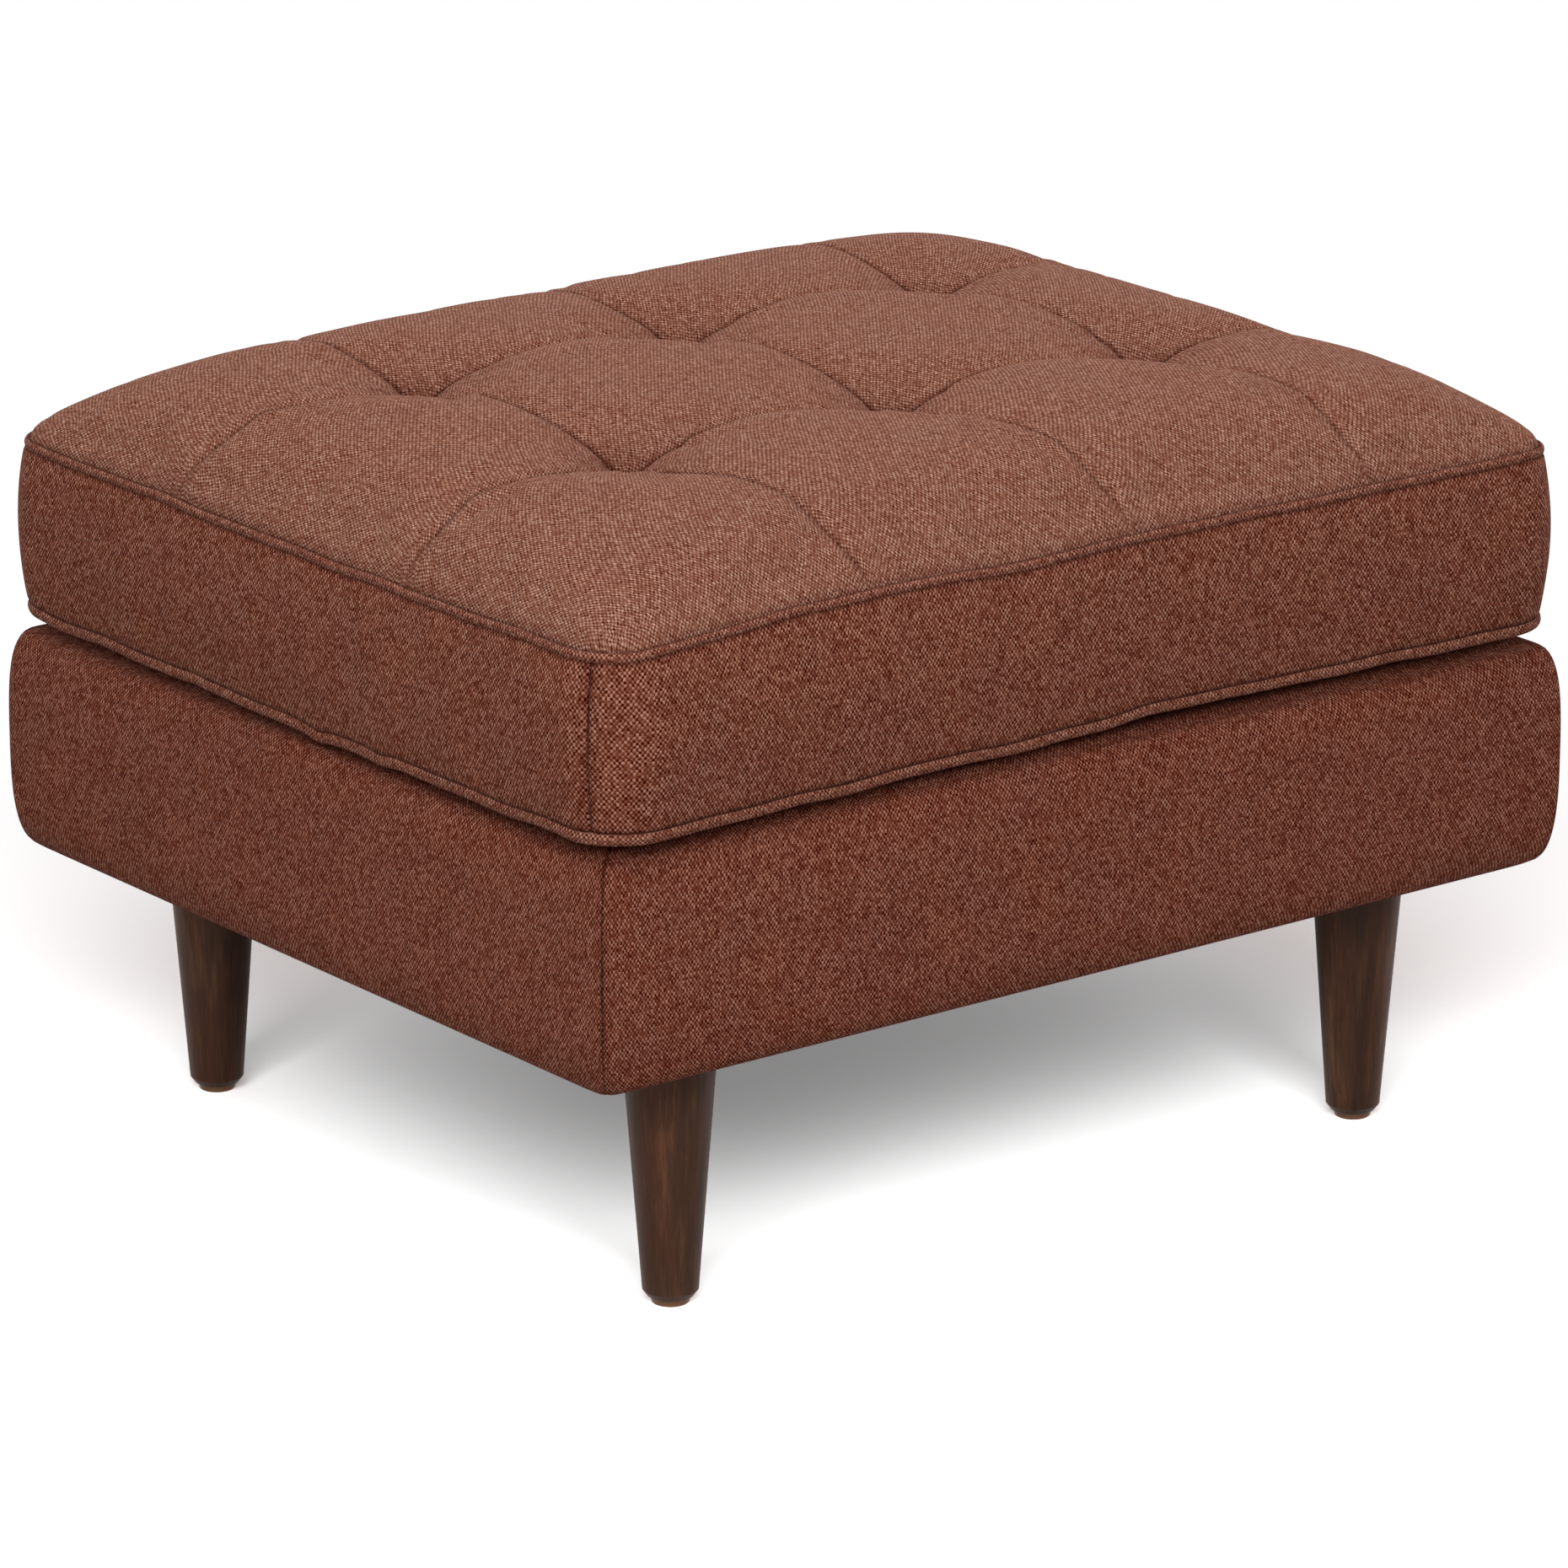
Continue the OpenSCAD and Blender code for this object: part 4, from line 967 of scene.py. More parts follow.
@dataclass
class Cushion:
    """The loose cushion: tufted crown, side bands, piping and underside.

    Attributes:
        plan: the outline.
        crown: height of the crown above the upper piping.
        fullness: how full the crown stays to the left, right, front and back.
        roundness: how it rounds off towards the rim.
        softness: height of its unevenness.
        rim_inset: how far its rim lies inside the piping.
        seam_aside: how far the near upright seam lies beside the corner.
        pull_room: depth of the dents that leave room for the zip's pull.
        seam_dip: depth of the valley along a crease.
        seam_reach: how far that valley reaches.
        near_dip: how much deeper it is beside a tuft.
        near_reach: how far from a tuft that holds.
        tuft_dip: depth of the pit at a tuft.
        tuft_reach: how far the pit reaches.
        twine_room: how far the cloth stands over the ends of the twine.
        crease: depth of the fine fold.
        fold_reach: how far the fine fold reaches.
        sewn_reach: length of a crease that holds beside a tuft as the cloth settles.
        tufts_x: where the tufts lie from left to right.
        tufts_y: where they lie from front to back.
        drift_front: how far the creases run off true at the front.
        drift_left: the same at the left.
        drift_back: the same at the back.
        drift_right: the same at the right.
        crown_floor: height of the crown's closed underside.
        deck_gap: height of the cushion's underside.
        zip_level: half of the slot for the zip, as a level on the band.
        fill: how full the padded pieces are; not used.
        hem: cloth in each seam of the underside; not used.
        coarse_step: grid step of the sheet that settles.
        fine_step: grid step of the finished crown.
        crease_lines: distances of closer grid lines from a crease, in millimetres.
        rim_lines: their distances from the rim.
    """

    plan: CushionPlan = field(default_factory=CushionPlan)
    crown: float = 62.5 * MM
    fullness: tuple[float, ...] = (4.7, 5.4, 5.0, 3.9)
    roundness: float = 0.52
    softness: float = 0.9 * MM
    rim_inset: float = 1.7 * MM
    seam_aside: float = 12 * MM
    pull_room: float = 1.7 * MM
    seam_dip: float = 1.3 * MM
    seam_reach: float = 13 * MM
    near_dip: float = 6.5 * MM
    near_reach: float = 62 * MM
    tuft_dip: float = 22 * MM
    tuft_reach: float = 34 * MM
    twine_room: float = 2.0 * MM
    crease: float = 1.5 * MM
    fold_reach: float = 2.2 * MM
    sewn_reach: float = 45 * MM
    tufts_x: tuple[float, ...] = (-0.205, 0.0, 0.205)
    tufts_y: tuple[float, ...] = (-0.109, 0.109)
    drift_front: tuple[float, ...] = (0.029, 0.028, 0.012)
    drift_left: tuple[float, ...] = (-0.005, 0.019)
    drift_back: tuple[float, ...] = (0.008, -0.006, 0.01)
    drift_right: tuple[float, ...] = (-0.006, 0.009)
    crown_floor: float = 421.0 * MM
    deck_gap: float = 318.9 * MM
    zip_level: float = 0.105
    fill: float = 0.8
    hem: float = 6 * MM
    coarse_step: float = 7 * MM
    fine_step: float = 3.6 * MM
    crease_lines: tuple[float, ...] = (1.1, 2.6, 4.4)
    rim_lines: tuple[float, ...] = (0.12, 0.5, 1.1, 2.1)

    def build(self) -> list[bpy.types.Object]:
        """Builds and dresses every piece of the cushion's cover.

        Returns:
            The pieces.
        """
        self.plan.trace()
        cloth = WovenCloth("rust_cloth", *RUST, contrast=1.08).make()
        # The crown takes the lighter copy of the cloth, painted light for its brighter top
        top_painted_light = WovenCloth("rust_cloth_top_painted_light", *RUST_TOP_PAINTED_LIGHT, contrast=0.84, drift=0.3).make()
        piping = WovenCloth("rust_cloth_piping", *RUST_PIPING).make()
        crown = self.build_crown()
        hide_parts("top_panel", "fibre_top")
        bands = self.build_bands()
        welts = [self.build_welt(top=True), self.build_welt(top=False)]
        dressed = [(crown, top_painted_light), *((band, cloth) for band in bands)]
        dressed += [(welt, piping) for welt in welts]
        dressed += [(self.build_underside(), cloth)]
        for piece, material in dressed:
            piece.data.materials.clear()
            piece.data.materials.append(material)
            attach(piece, "cushion")
            LOG.info("%s: %d faces", piece.name, len(piece.data.polygons))
        return [piece for piece, _ in dressed]

    # The tufted crown

    def lines(self, edge: float, marks: tuple[float, ...], step: float, fine: bool) -> np.ndarray:
        """Places the crown's grid lines from edge to edge, with one through each tuft.

        Args:
            edge: the last line, as far out as the first.
            marks: where the tufts lie.
            step: the usual distance between lines.
            fine: whether lines lie closer by the creases and the rim.

        Returns:
            The lines' places, in order.
        """
        stops = [-edge, *marks, edge]
        found: list[float] = []
        for low, high in zip(stops[:-1], stops[1:]):
            count = max(2, round((high - low) / step))
            found += list(np.linspace(low, high, count, endpoint=False))
        found.append(edge)
        if fine:
            clear = self.crease_lines[-1] * MM
            found = [x for x in found if all(x == m or abs(x - m) > clear for m in marks)]
            sides = (-1, 1)
            found += [m + side * k * MM for m in marks for side in sides for k in self.crease_lines]
            found += [side * (edge - k * MM) for side in sides for k in self.rim_lines]
        return np.unique(np.round(found, 7))

    def drifted(self, u: np.ndarray, v: np.ndarray) -> tuple[np.ndarray, np.ndarray]:
        """Carries the panel with its sewn creases, which run off true near the edges.

        Args:
            u: places across the panel.
            v: places from front to back.

        Returns:
            The carried places.
        """
        w, d = self.plan.half_w, self.plan.half_d

        def toward(t: np.ndarray, start: float, end: float) -> np.ndarray:
            """Returns 0 up to start, rising softly to 1 at end."""
            part = np.clip((t - start) / (end - start), 0, 1)
            return part * part * (2 - part)

        front = np.interp(u, (-w, *self.tufts_x, w), (0, *self.drift_front, 0))
        back = np.interp(u, (-w, *self.tufts_x, w), (0, *self.drift_back, 0))
        left = np.interp(v, (-d, *self.tufts_y, d), (0, *self.drift_left, 0))
        right = np.interp(v, (-d, *self.tufts_y, d), (0, *self.drift_right, 0))
        x = u + front * toward(-v, -self.tufts_y[0], d) + back * toward(v, self.tufts_y[1], d)
        y = v + left * toward(-u, -self.tufts_x[0], w) + right * toward(u, self.tufts_x[2], w)
        return x, y

    def seam_distance(self, u: np.ndarray, v: np.ndarray) -> tuple[np.ndarray, np.ndarray]:
        """Measures how far places on the panel lie from its sewing.

        Args:
            u: places across the panel.
            v: places from front to back.

        Returns:
            The distances to the nearest crease and to the nearest tuft.
        """
        across = np.min([np.abs(u - m) for m in self.tufts_x], axis=0)
        along = np.min([np.abs(v - m) for m in self.tufts_y], axis=0)
        tuft = np.min([np.hypot(u - a, v - b) for a in self.tufts_x for b in self.tufts_y], axis=0)
        return np.minimum(across, along), tuft

    def envelope(self, x: np.ndarray, y: np.ndarray, w: float, d: float) -> np.ndarray:
        """Rounds the crown from its middle to its rim.

        Args:
            x: places across the crown.
            y: places from front to back.
            w: half of the crown's width.
            d: half of its depth.

        Returns:
            The fullness, 1 in the middle and 0 at the welt.
        """
        left, right, front, back = self.fullness
        p = np.clip(np.abs(x) / w, 0, 1) ** np.where(x < 0, left, right)
        q = np.clip(np.abs(y) / d, 0, 1) ** np.where(y < 0, front, back)
        return ((1 - p) * (1 - q)) ** self.roundness

    def crown_shape(
        self, u: np.ndarray, v: np.ndarray, crease: float
    ) -> Surface:
        """Returns the tufted surface over the flat panel.

        Args:
            u: places across the panel.
            v: places from front to back.
            crease: depth of the fine fold along each seam.

        Returns:
            x, y and z.
        """
        inset = self.rim_inset
        w, d = self.plan.half_w - inset, self.plan.half_d - inset
        x, y = self.drifted(u, v)
        x, y = np.clip(x, -w, w), np.clip(y, -d, d)
        full = self.envelope(x, y, w, d)
        line, tuft = self.seam_distance(u, v)
        near = np.exp(-tuft / self.near_reach)
        dip = (self.seam_dip + self.near_dip * near) * np.exp(-line / self.seam_reach)
        pit = self.tuft_dip * np.exp(-tuft / self.tuft_reach)
        fold = crease * (0.45 + 1.3 * near) * np.exp(-line / self.fold_reach)
        soft = self.softness * ripple(u, v, 11, (0.21, 0.13, 0.083))
        px, py = self.plan.place(x, y, inset)
        rim_lift = self.plan.welt_lift(self.plan.nearest(px, py), True) * (1 - full) ** 1.5
        z = self.plan.high_z + 1.6 * MM + rim_lift + full * (self.crown - dip - pit - fold + soft)
        return px, py, z

    def crown_seam_shade(self, u: np.ndarray, v: np.ndarray) -> np.ndarray:
        """Paints shade into the creases, the pits of the tufts and the sewn rim.

        Args:
            u: places across the panel.
            v: places from front to back.

        Returns:
            How dark each place is, from 0 to 1.
        """
        line, tuft = self.seam_distance(u, v)
        x, y = self.drifted(u, v)
        inset = self.rim_inset
        full = self.envelope(x, y, self.plan.half_w - inset, self.plan.half_d - inset)
        # Painted shade along the fold itself and beside it, then in the pit in two steps
        fold = np.exp(-((line / (1.8 * MM)) ** 2)) * (0.52 + 0.48 * np.exp(-tuft / (85 * MM)))
        fold = fold + 0.2 * np.exp(-line / (5 * MM)) * np.exp(-tuft / (55 * MM))
        fold = fold + 0.36 * np.exp(-((tuft / (13 * MM)) ** 2))
        fold = fold + 0.24 * np.exp(-((tuft / (31 * MM)) ** 2))
        # Painted shade along the sewn rim
        edge = np.clip(1 - full / 0.035, 0, 1)
        return np.clip(np.maximum(fold * np.clip(full * 3, 0, 1), edge), 0, 1)

    def build_crown(self) -> bpy.types.Object:
        """Builds the tufted top as one stuffed form, settled as cloth between its seams.

        Returns:
            The piece, closed by a flat floor inside the cushion.
        """
        w, d = self.plan.half_w - self.rim_inset, self.plan.half_d - self.rim_inset
        coarse_u = self.lines(w, self.tufts_x, self.coarse_step, False)
        coarse_v = self.lines(d, self.tufts_y, self.coarse_step, False)
        draft = ClothPiece("crown_draft", coarse_u, coarse_v, wall=0)
        sheet = draft.lay_out()
        u, v = coarse_u[draft.column], coarse_v[draft.row]
        set_points(sheet, np.stack(self.crown_shape(u, v, 0.0), axis=1))
        line, tuft = self.seam_distance(u, v)
        rim = (np.abs(u) > w - SURE) | (np.abs(v) > d - SURE)
        sewn = (line < SURE) & (tuft < self.sewn_reach)
        moved = Settle(pressure=3.0, slack=0.012, cap=5 * MM).run(sheet, rim | sewn)
        shifts = np.zeros((len(coarse_u), len(coarse_v), 3))
        shifts[draft.column, draft.row] = moved

        def shape(a: np.ndarray, b: np.ndarray) -> Surface:
            """Shapes the settled surface, with room for the ends of the twine.

            Args:
                a: places across the panel.
                b: places from front to back.

            Returns:
                x, y and z.
            """
            x, y, z = self.crown_shape(a, b, self.crease)
            shift = between(shifts, coarse_u, coarse_v, a, b)
            _, to_tuft = self.seam_distance(a, b)
            room = self.twine_room * np.exp(-((to_tuft / (6 * MM)) ** 2))
            return x + shift[:, 0], y + shift[:, 1], z + shift[:, 2] + room

        fine_u = self.lines(w, self.tufts_x, self.fine_step, True)
        fine_v = self.lines(d, self.tufts_y, self.fine_step, True)
        panel = ClothPiece("cushion_crown", fine_u, fine_v, wall=0, true_lay=True)
        piece = panel.build(shape, self.crown_seam_shade)
        activate(piece)
        bpy.ops.object.mode_set(mode="EDIT")
        bpy.ops.mesh.select_all(action="DESELECT")
        bpy.ops.mesh.select_mode(type="EDGE")
        bpy.ops.mesh.select_non_manifold()
        # The open edge is drawn in and pressed flat at the crown's floor, then closed
        bpy.ops.mesh.extrude_region_move()
        bpy.ops.transform.resize(
            value=(0.985, 0.983, 0.0), center_override=(0, 0, self.crown_floor)
        )
        bpy.ops.mesh.edge_face_add()
        bpy.ops.object.mode_set(mode="OBJECT")
        return piece

    # Side bands

    def band_place(
        self, s: np.ndarray, level: np.ndarray, push: np.ndarray
    ) -> Surface:
        """Returns the side band's surface.

        Args:
            s: lengths along the outline.
            level: height on the band, from -1 at the bottom welt to 1 at the top welt.
            push: how far the surface stands out beyond its plain bulge.

        Returns:
            x, y and z.
        """
        x, y, ox, oy = self.plan.at(s)
        low = self.plan.low_z + self.plan.welt_lift(s, False) + self.plan.low_welt * 0.8
        high = self.plan.high_z + self.plan.welt_lift(s, True) - self.plan.welt * 0.8
        out = self.plan.bulge * (1 - level**2) + self.plan.band_out + push
        z = low + (high - low) * (level + 1) / 2
        return x + ox * out, y + oy * out, z

    def build_bands(self) -> list[bpy.types.Object]:
        """Builds the front, left, right and back bands of the cushion's side.

        Returns:
            The five pieces.
        """
        plan = self.plan
        right_end, left_end = self.zip_ends()
        runs = {
            "band_front": (-self.seam_aside, plan.corners[1], (-1.0, 1.0)),
            "band_right": (plan.corners[1], right_end, (-1.0, 1.0)),
            "band_back_upper": (right_end, left_end, (self.zip_level, 1.0)),
            "band_back_lower": (right_end, left_end, (-1.0, -self.zip_level)),
            "band_left": (left_end, plan.length - self.seam_aside, (-1.0, 1.0)),
        }
        nodes = {
            "band_front": "boxing_front", "band_right": "boxing_right", "band_left": "boxing_left",
            "band_back_upper": "zip_strip_upper", "band_back_lower": "zip_strip_lower",
        }
        made = []
        for name, (start, end, (low, high)) in runs.items():
            piece = self.build_band(name, start, end, low, high)
            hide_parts(nodes[name])
            made.append(piece)
        return made

    def zip_ends(self) -> tuple[float, float]:
        """Returns the lengths along the outline where the zip's strips start and end."""
        half = self.plan.back_flat
        middle = (self.plan.corners[2] + self.plan.corners[3]) / 2
        return middle - half, middle + half

    def build_band(
        self, name: str, start: float, end: float, low: float, high: float
    ) -> bpy.types.Object:
        """Builds one length of the side band.

        Args:
            name: the piece's name.
            start: where it starts along the outline.
            end: where it ends.
            low: its lower edge, as a level from -1 to 1.
            high: its upper edge.

        Returns:
            The piece.
        """
        lies_by_zip = abs(low) < 0.5 or abs(high) < 0.5
        zip_ends = self.zip_ends()
        tall = (self.plan.high_z - self.plan.low_z) / 2
        by_seam = np.array([0.7, 1.6, 2.6]) * MM
        even = np.linspace(start, end, round((end - start) / (3.4 * MM)))
        along = np.unique(np.round(np.concatenate([even, start + by_seam, end - by_seam]), 7))
        across = np.linspace(low, high, round((high - low) * tall / (3.2 * MM))) * tall

        def shape(s: np.ndarray, lift: np.ndarray) -> Surface:
            """Shapes the band, turned in at its ends.

            Args:
                s: lengths along the outline.
                lift: heights from the band's middle.

            Returns:
                x, y and z.
            """
            level = lift / tall
            gap = np.minimum(s - start, end - s)
            push = 0.7 * MM * ripple(s, lift, 23, (0.23, 0.12, 0.07)) * (1 - level**4)
            push = push - 1.6 * MM * np.exp(-gap / (1.2 * MM))
            push = push - 0.8 * MM * np.exp(-gap / (5 * MM))
            push = push - 0.9 * MM * np.exp(-(1 - np.abs(level)) * tall / (1.3 * MM))
            if lies_by_zip:
                edge = (np.abs(level) - self.zip_level) * tall
                push = push - 1.0 * MM * np.exp(-edge / (1.0 * MM))
            else:
                # A shallow dent at each end of the zip leaves room for its pull
                to_zip = np.minimum(np.abs(s - zip_ends[0]), np.abs(s - zip_ends[1]))
                dent = np.exp(-((to_zip / (10 * MM)) ** 2)) * np.exp(-((lift / (9 * MM)) ** 2))
                push = push - self.pull_room * dent
            return self.band_place(s, level, push)

        def seam(s: np.ndarray, lift: np.ndarray) -> np.ndarray:
            """Darkens the upright seams and the lines under the piping: dark seam lines, with
            painted shade in their grooves.

            Args:
                s: lengths along the outline.
                lift: heights from the band's middle.

            Returns:
                How dark each place is, from 0 to 1.
            """
            gap = np.minimum(s - start, end - s)
            edge = tall - np.abs(lift)
            # Dark seam lines with painted shade beside them, and painted shade in the grooves by
            # the piping
            upright = 0.45 * np.exp(-gap / (2.0 * MM)) + 0.16 * np.exp(-gap / (6 * MM))
            return np.clip(upright + 0.8 * np.exp(-edge / (1.6 * MM)), 0, 1)

        return ClothPiece(name, along, across).build(shape, seam)

    def build_welt(self, top: bool) -> bpy.types.Object:
        """Builds one ring of piping round the cushion.

        Args:
            top: the upper ring, or else the lower one.

        Returns:
            The piece.
        """
        plan = self.plan
        name = "piping_top" if top else "piping_bottom"
        along = np.linspace(0, plan.length, round(plan.length / (3.6 * MM)))
        size = plan.welt if top else plan.low_welt
        girth = 2 * math.pi * size
        across = np.linspace(0, girth, 15)

        def shape(s: np.ndarray, turn: np.ndarray) -> Surface:
            """Shapes the piping's tube, a little uneven along its length.

            Args:
                s: lengths along the outline.
                turn: lengths round the tube.

            Returns:
                x, y and z.
            """
            x, y, ox, oy = plan.at(s)
            angle = turn / size
            radius = size * (1 + 0.05 * ripple(s, turn * 0, 31, (0.05, 0.023)))
            centre = plan.high_z if top else plan.low_z
            out = radius * np.cos(angle) * plan.welt_flat
            z = centre + plan.welt_lift(s, top) + radius * np.sin(angle)
            return x + ox * out, y + oy * out, z

        def seam(s: np.ndarray, turn: np.ndarray) -> np.ndarray:
            """Returns the shade in the grooves above and below the piping."""
            return np.clip(0.9 - 2.2 * np.cos(turn / size), 0, 0.82)

        piece = ClothPiece(name, along, across, closed=True, wall=0).build(shape, seam)
        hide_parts("top_welt" if top else "bottom_welt")
        return piece

    def build_underside(self) -> bpy.types.Object:
        """Builds the cushion's flat underside, curving up to the lower piping.

        Returns:
            The piece.
        """
        plan = self.plan
        inset = plan.low_welt * 0.6
        w, d = plan.half_w - inset, plan.half_d - inset

        def shape(x: np.ndarray, y: np.ndarray) -> Surface:
            """Shapes the underside, flat in the middle and curving up to its rim.

            Args:
                x: places across the panel.
                y: places from front to back.

            Returns:
                x, y and z.
            """
            p = np.clip(np.abs(x) / w, 0, 1) ** 12
            q = np.clip(np.abs(y) / d, 0, 1) ** 12
            px, py = plan.place(x, y, inset)
            edge_z = plan.low_z + plan.welt_lift(plan.nearest(px, py), False) - 1.5 * MM
            rise = (edge_z - self.deck_gap) * (1 - np.sqrt((1 - p) * (1 - q)))
            wave = 0.5 * MM * (ripple(x, y, 41, (0.17, 0.09)) + 1.0) * np.clip(1 - p - q, 0, 1)
            return px, py, self.deck_gap + rise + wave

        def edged(half: float) -> np.ndarray:
            """Returns grid lines that are closer together near the edge."""
            return half * np.sin(np.linspace(-1, 1, 91) * math.pi / 2)

        piece = ClothPiece("cushion_underside", edged(w), edged(d), wall=0).build(shape)
        activate(piece)
        bpy.ops.object.mode_set(mode="EDIT")
        bpy.ops.mesh.select_all(action="SELECT")
        bpy.ops.mesh.flip_normals()
        bpy.ops.object.mode_set(mode="OBJECT")
        thicken(piece, CLOTH_WALL)
        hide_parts("bottom_panel")
        return piece


# ---------------------------------------------------------------- the base


class Side(Enum):
    """The four sides of the base, by the turn that carries the front to each."""

    FRONT = 0
    RIGHT = 90
    BACK = 180
    LEFT = 270


@dataclass
class Base:
    """The padded, covered base: four cover panels, the deck lining and the cloth underneath.

    Attributes:
        half_w: half of the width at the base's upper and lower edges.
        half_d: half of the depth there.
        low_z: height of the lower edge.
        high_z: height of the deck.
        swell: how far the padded sides stand out.
        turn_over: how far the covers turn in over the deck.
        turn_under: how far they turn in under the base.
        droop: how far the shoulder lies below the deck.
        shoulder: how far in from the edge that reaches.
        lap: how far the lining reaches under the covers.
        fill: how full the padded pieces are; not used.
        dust_inset: how far the cloth underneath lies inside the edge.
        staple_inset: how far the staples lie inside it.
        staple_margin: how far the end staples lie from the corners.
    """

    half_w: float = 364 * MM
    half_d: float = 304 * MM
    low_z: float = 168.6 * MM
    high_z: float = 318.6 * MM
    swell: float = 17 * MM
    turn_over: float = 62 * MM
    turn_under: float = 30 * MM
    droop: float = 4.5 * MM
    shoulder: float = 2.9 * MM
    lap: float = 2 * MM
    fill: float = 0.95
    dust_inset: float = 12 * MM
    staple_inset: float = 18 * MM
    staple_margin: float = 30 * MM

    def build(self) -> list[bpy.types.Object]:
        """Builds and dresses the base's soft pieces.

        Returns:
            The pieces.
        """
        cloth = WovenCloth("rust_cloth_base", *RUST_BASE, contrast=1.08).make()
        lining = WovenCloth(
            "lining_cloth", srgb(30, 22, 20), srgb(46, 36, 33), srgb(64, 52, 48),
            warp_pitch=0.8 * MM, weft_pitch=0.9 * MM, relief=0.15 * MM,
        ).make()
        made = []
        for side in Side:
            panel = self.build_panel(side)
            panel.data.materials.append(cloth)
            made.append(panel)
        for flat in (self.build_deck(), self.build_dust_cloth()):
            flat.data.materials.append(lining)
            made.append(flat)
        made.append(self.build_staples())
        for piece in made:
            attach(piece, "base")
            LOG.info("%s: %d faces", piece.name, len(piece.data.polygons))
        return made

    def profile(self) -> Surface:
        """Draws the panel's side view, from under the base to the deck.

        Returns:
            The distance out, the height and the length along the cloth.
        """
        under = np.linspace(-self.turn_under, 0, 7)[:-1]
        turn = np.radians(np.linspace(-90, 90, 61))
        out = self.swell * np.abs(np.cos(turn)) ** (2 / 3)
        up = np.sign(np.sin(turn)) * np.abs(np.sin(turn)) ** (2 / 3)
        side_z = (self.low_z + self.high_z) / 2 + up * (self.high_z - self.low_z) / 2
        close = np.array([1.5, 3, 5, 8]) * MM
        over = -np.concatenate([close, np.linspace(12 * MM, self.turn_over, 10)])
        off = np.concatenate([under, out, over])
        # The shoulder is drawn down a little below the deck
        z = np.concatenate([
            under * 0 + self.low_z,
            side_z - self.droop * ((1 + up) / 2) ** 5,
            self.high_z - self.droop * np.exp(over / self.shoulder),
        ])
        length = np.concatenate([[0], np.cumsum(np.hypot(np.diff(off), np.diff(z)))])
        # Even steps along the cloth, with the soft edge kept
        even = np.linspace(0, length[-1], 74)
        return np.interp(even, length, off), np.interp(even, length, z), even

    def build_panel(self, side: Side) -> bpy.types.Object:
        """Builds one cover panel, from under the base, up the padded side and over onto the deck.

        Args:
            side: which side it covers.

        Returns:
            The piece.
        """
        wide, deep = (self.half_w, self.half_d)
        if side in (Side.LEFT, Side.RIGHT):
            wide, deep = deep, wide
        off, z, length = self.profile()
        outer = wide + self.swell
        ends = np.array([0, 0.8, 1.8, 3.2, 5.5, 9]) * MM
        middle = np.linspace(-outer + 14 * MM, outer - 14 * MM, round(2 * outer / (5 * MM)))
        along = np.concatenate([-outer + ends, middle, (outer - ends)[::-1]])
        turn = math.radians(side.value)
        seed = 50 + side.value

        def shape(u: np.ndarray, v: np.ndarray) -> Surface:
            """Shapes the panel, drawn in a little at its mitred ends.

            Args:
                u: places along the side.
                v: lengths along the panel's side view.

            Returns:
                x, y and z.
            """
            out, up = np.interp(v, length, off), np.interp(v, length, z)
            reach = wide + out
            gap = outer - np.abs(u)
            above = np.clip((up - self.low_z) / (12 * MM), 0, 1)
            side_on = above * np.clip((self.high_z - up) / (12 * MM), 0, 1)
            soft = 0.7 * MM * ripple(u, v, seed, (0.33, 0.19, 0.11)) * side_on
            soft = soft * (1 - np.exp(-gap / (20 * MM)))
            fold = -1.5 * MM * np.exp(-gap / (1.2 * MM)) - 1.3 * MM * np.exp(-gap / (6 * MM))
            fold = fold * (0.8 + 0.2 * side_on)
            x = np.sign(u) * (np.maximum(0, reach - gap * reach / outer) + fold)
            y = -(deep + out + soft + fold)
            tuck = 1.1 * MM * np.exp(-gap / (7 * MM)) * np.exp(np.minimum(out, 0) / (3 * MM))
            height = up + tuck * np.clip(1 - (up - self.low_z) / (12 * MM), 0, 1)
            cos, sin = math.cos(turn), math.sin(turn)
            return x * cos - y * sin, x * sin + y * cos, height

        def seam(u: np.ndarray, v: np.ndarray) -> np.ndarray:
            """Darkens the stitched corner, with painted shade in its fold, and paints the cushion's
            shadow into the groove under it.

            Args:
                u: places along the side.
                v: lengths along the panel's side view.

            Returns:
                How dark each place is, from 0 to 1.
            """
            gap = outer - np.abs(u)
            stitch = 0.5 + 0.5 * np.cos(2 * math.pi * v / (3.6 * MM))
            upright = (0.4 + 0.5 * stitch) * np.exp(-gap / (1.9 * MM))
            # Painted shade in the fold beside the stitched corner
            upright = upright + 0.16 * np.exp(-gap / (6 * MM))
            # Painted shadow of the cushion, fading down the shoulder
            below = np.maximum(0, self.high_z - self.droop - np.interp(v, length, z))
            return np.clip(upright + 0.36 * np.exp(-below / (12 * MM)), 0, 1)

        word = side.name.lower()
        piece = ClothPiece(f"base_cover_{word}", along, length).build(shape, seam)
        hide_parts(f"cover_{word}", f"padding_{word}")
        return piece

    def build_deck(self) -> bpy.types.Object:
        """Builds the lining under the cushion, sewn to the turned-over covers.

        Returns:
            The piece.
        """
        inset = self.turn_over - self.lap
        w, d = self.half_w - inset, self.half_d - inset
        along, across = np.linspace(-w, w, 90), np.linspace(-d, d, 72)

        def shape(x: np.ndarray, y: np.ndarray) -> Surface:
            """Shapes the lining, pulled down a little along its seam.

            Args:
                x: places across the deck.
                y: places from front to back.

            Returns:
                x, y and z.
            """
            edge = np.minimum(w - np.abs(x), d - np.abs(y))
            dip = 0.5 * MM * np.exp(-edge / (5 * MM))
            dip = dip + 0.25 * MM * (1 + ripple(x, y, 61, (0.16, 0.08)))
            return x, y, self.high_z - 0.1 * MM - dip

        piece = ClothPiece("deck_lining", along, across, wall=0.8 * MM).build(shape)
        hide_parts("deck_cloth")
        return piece

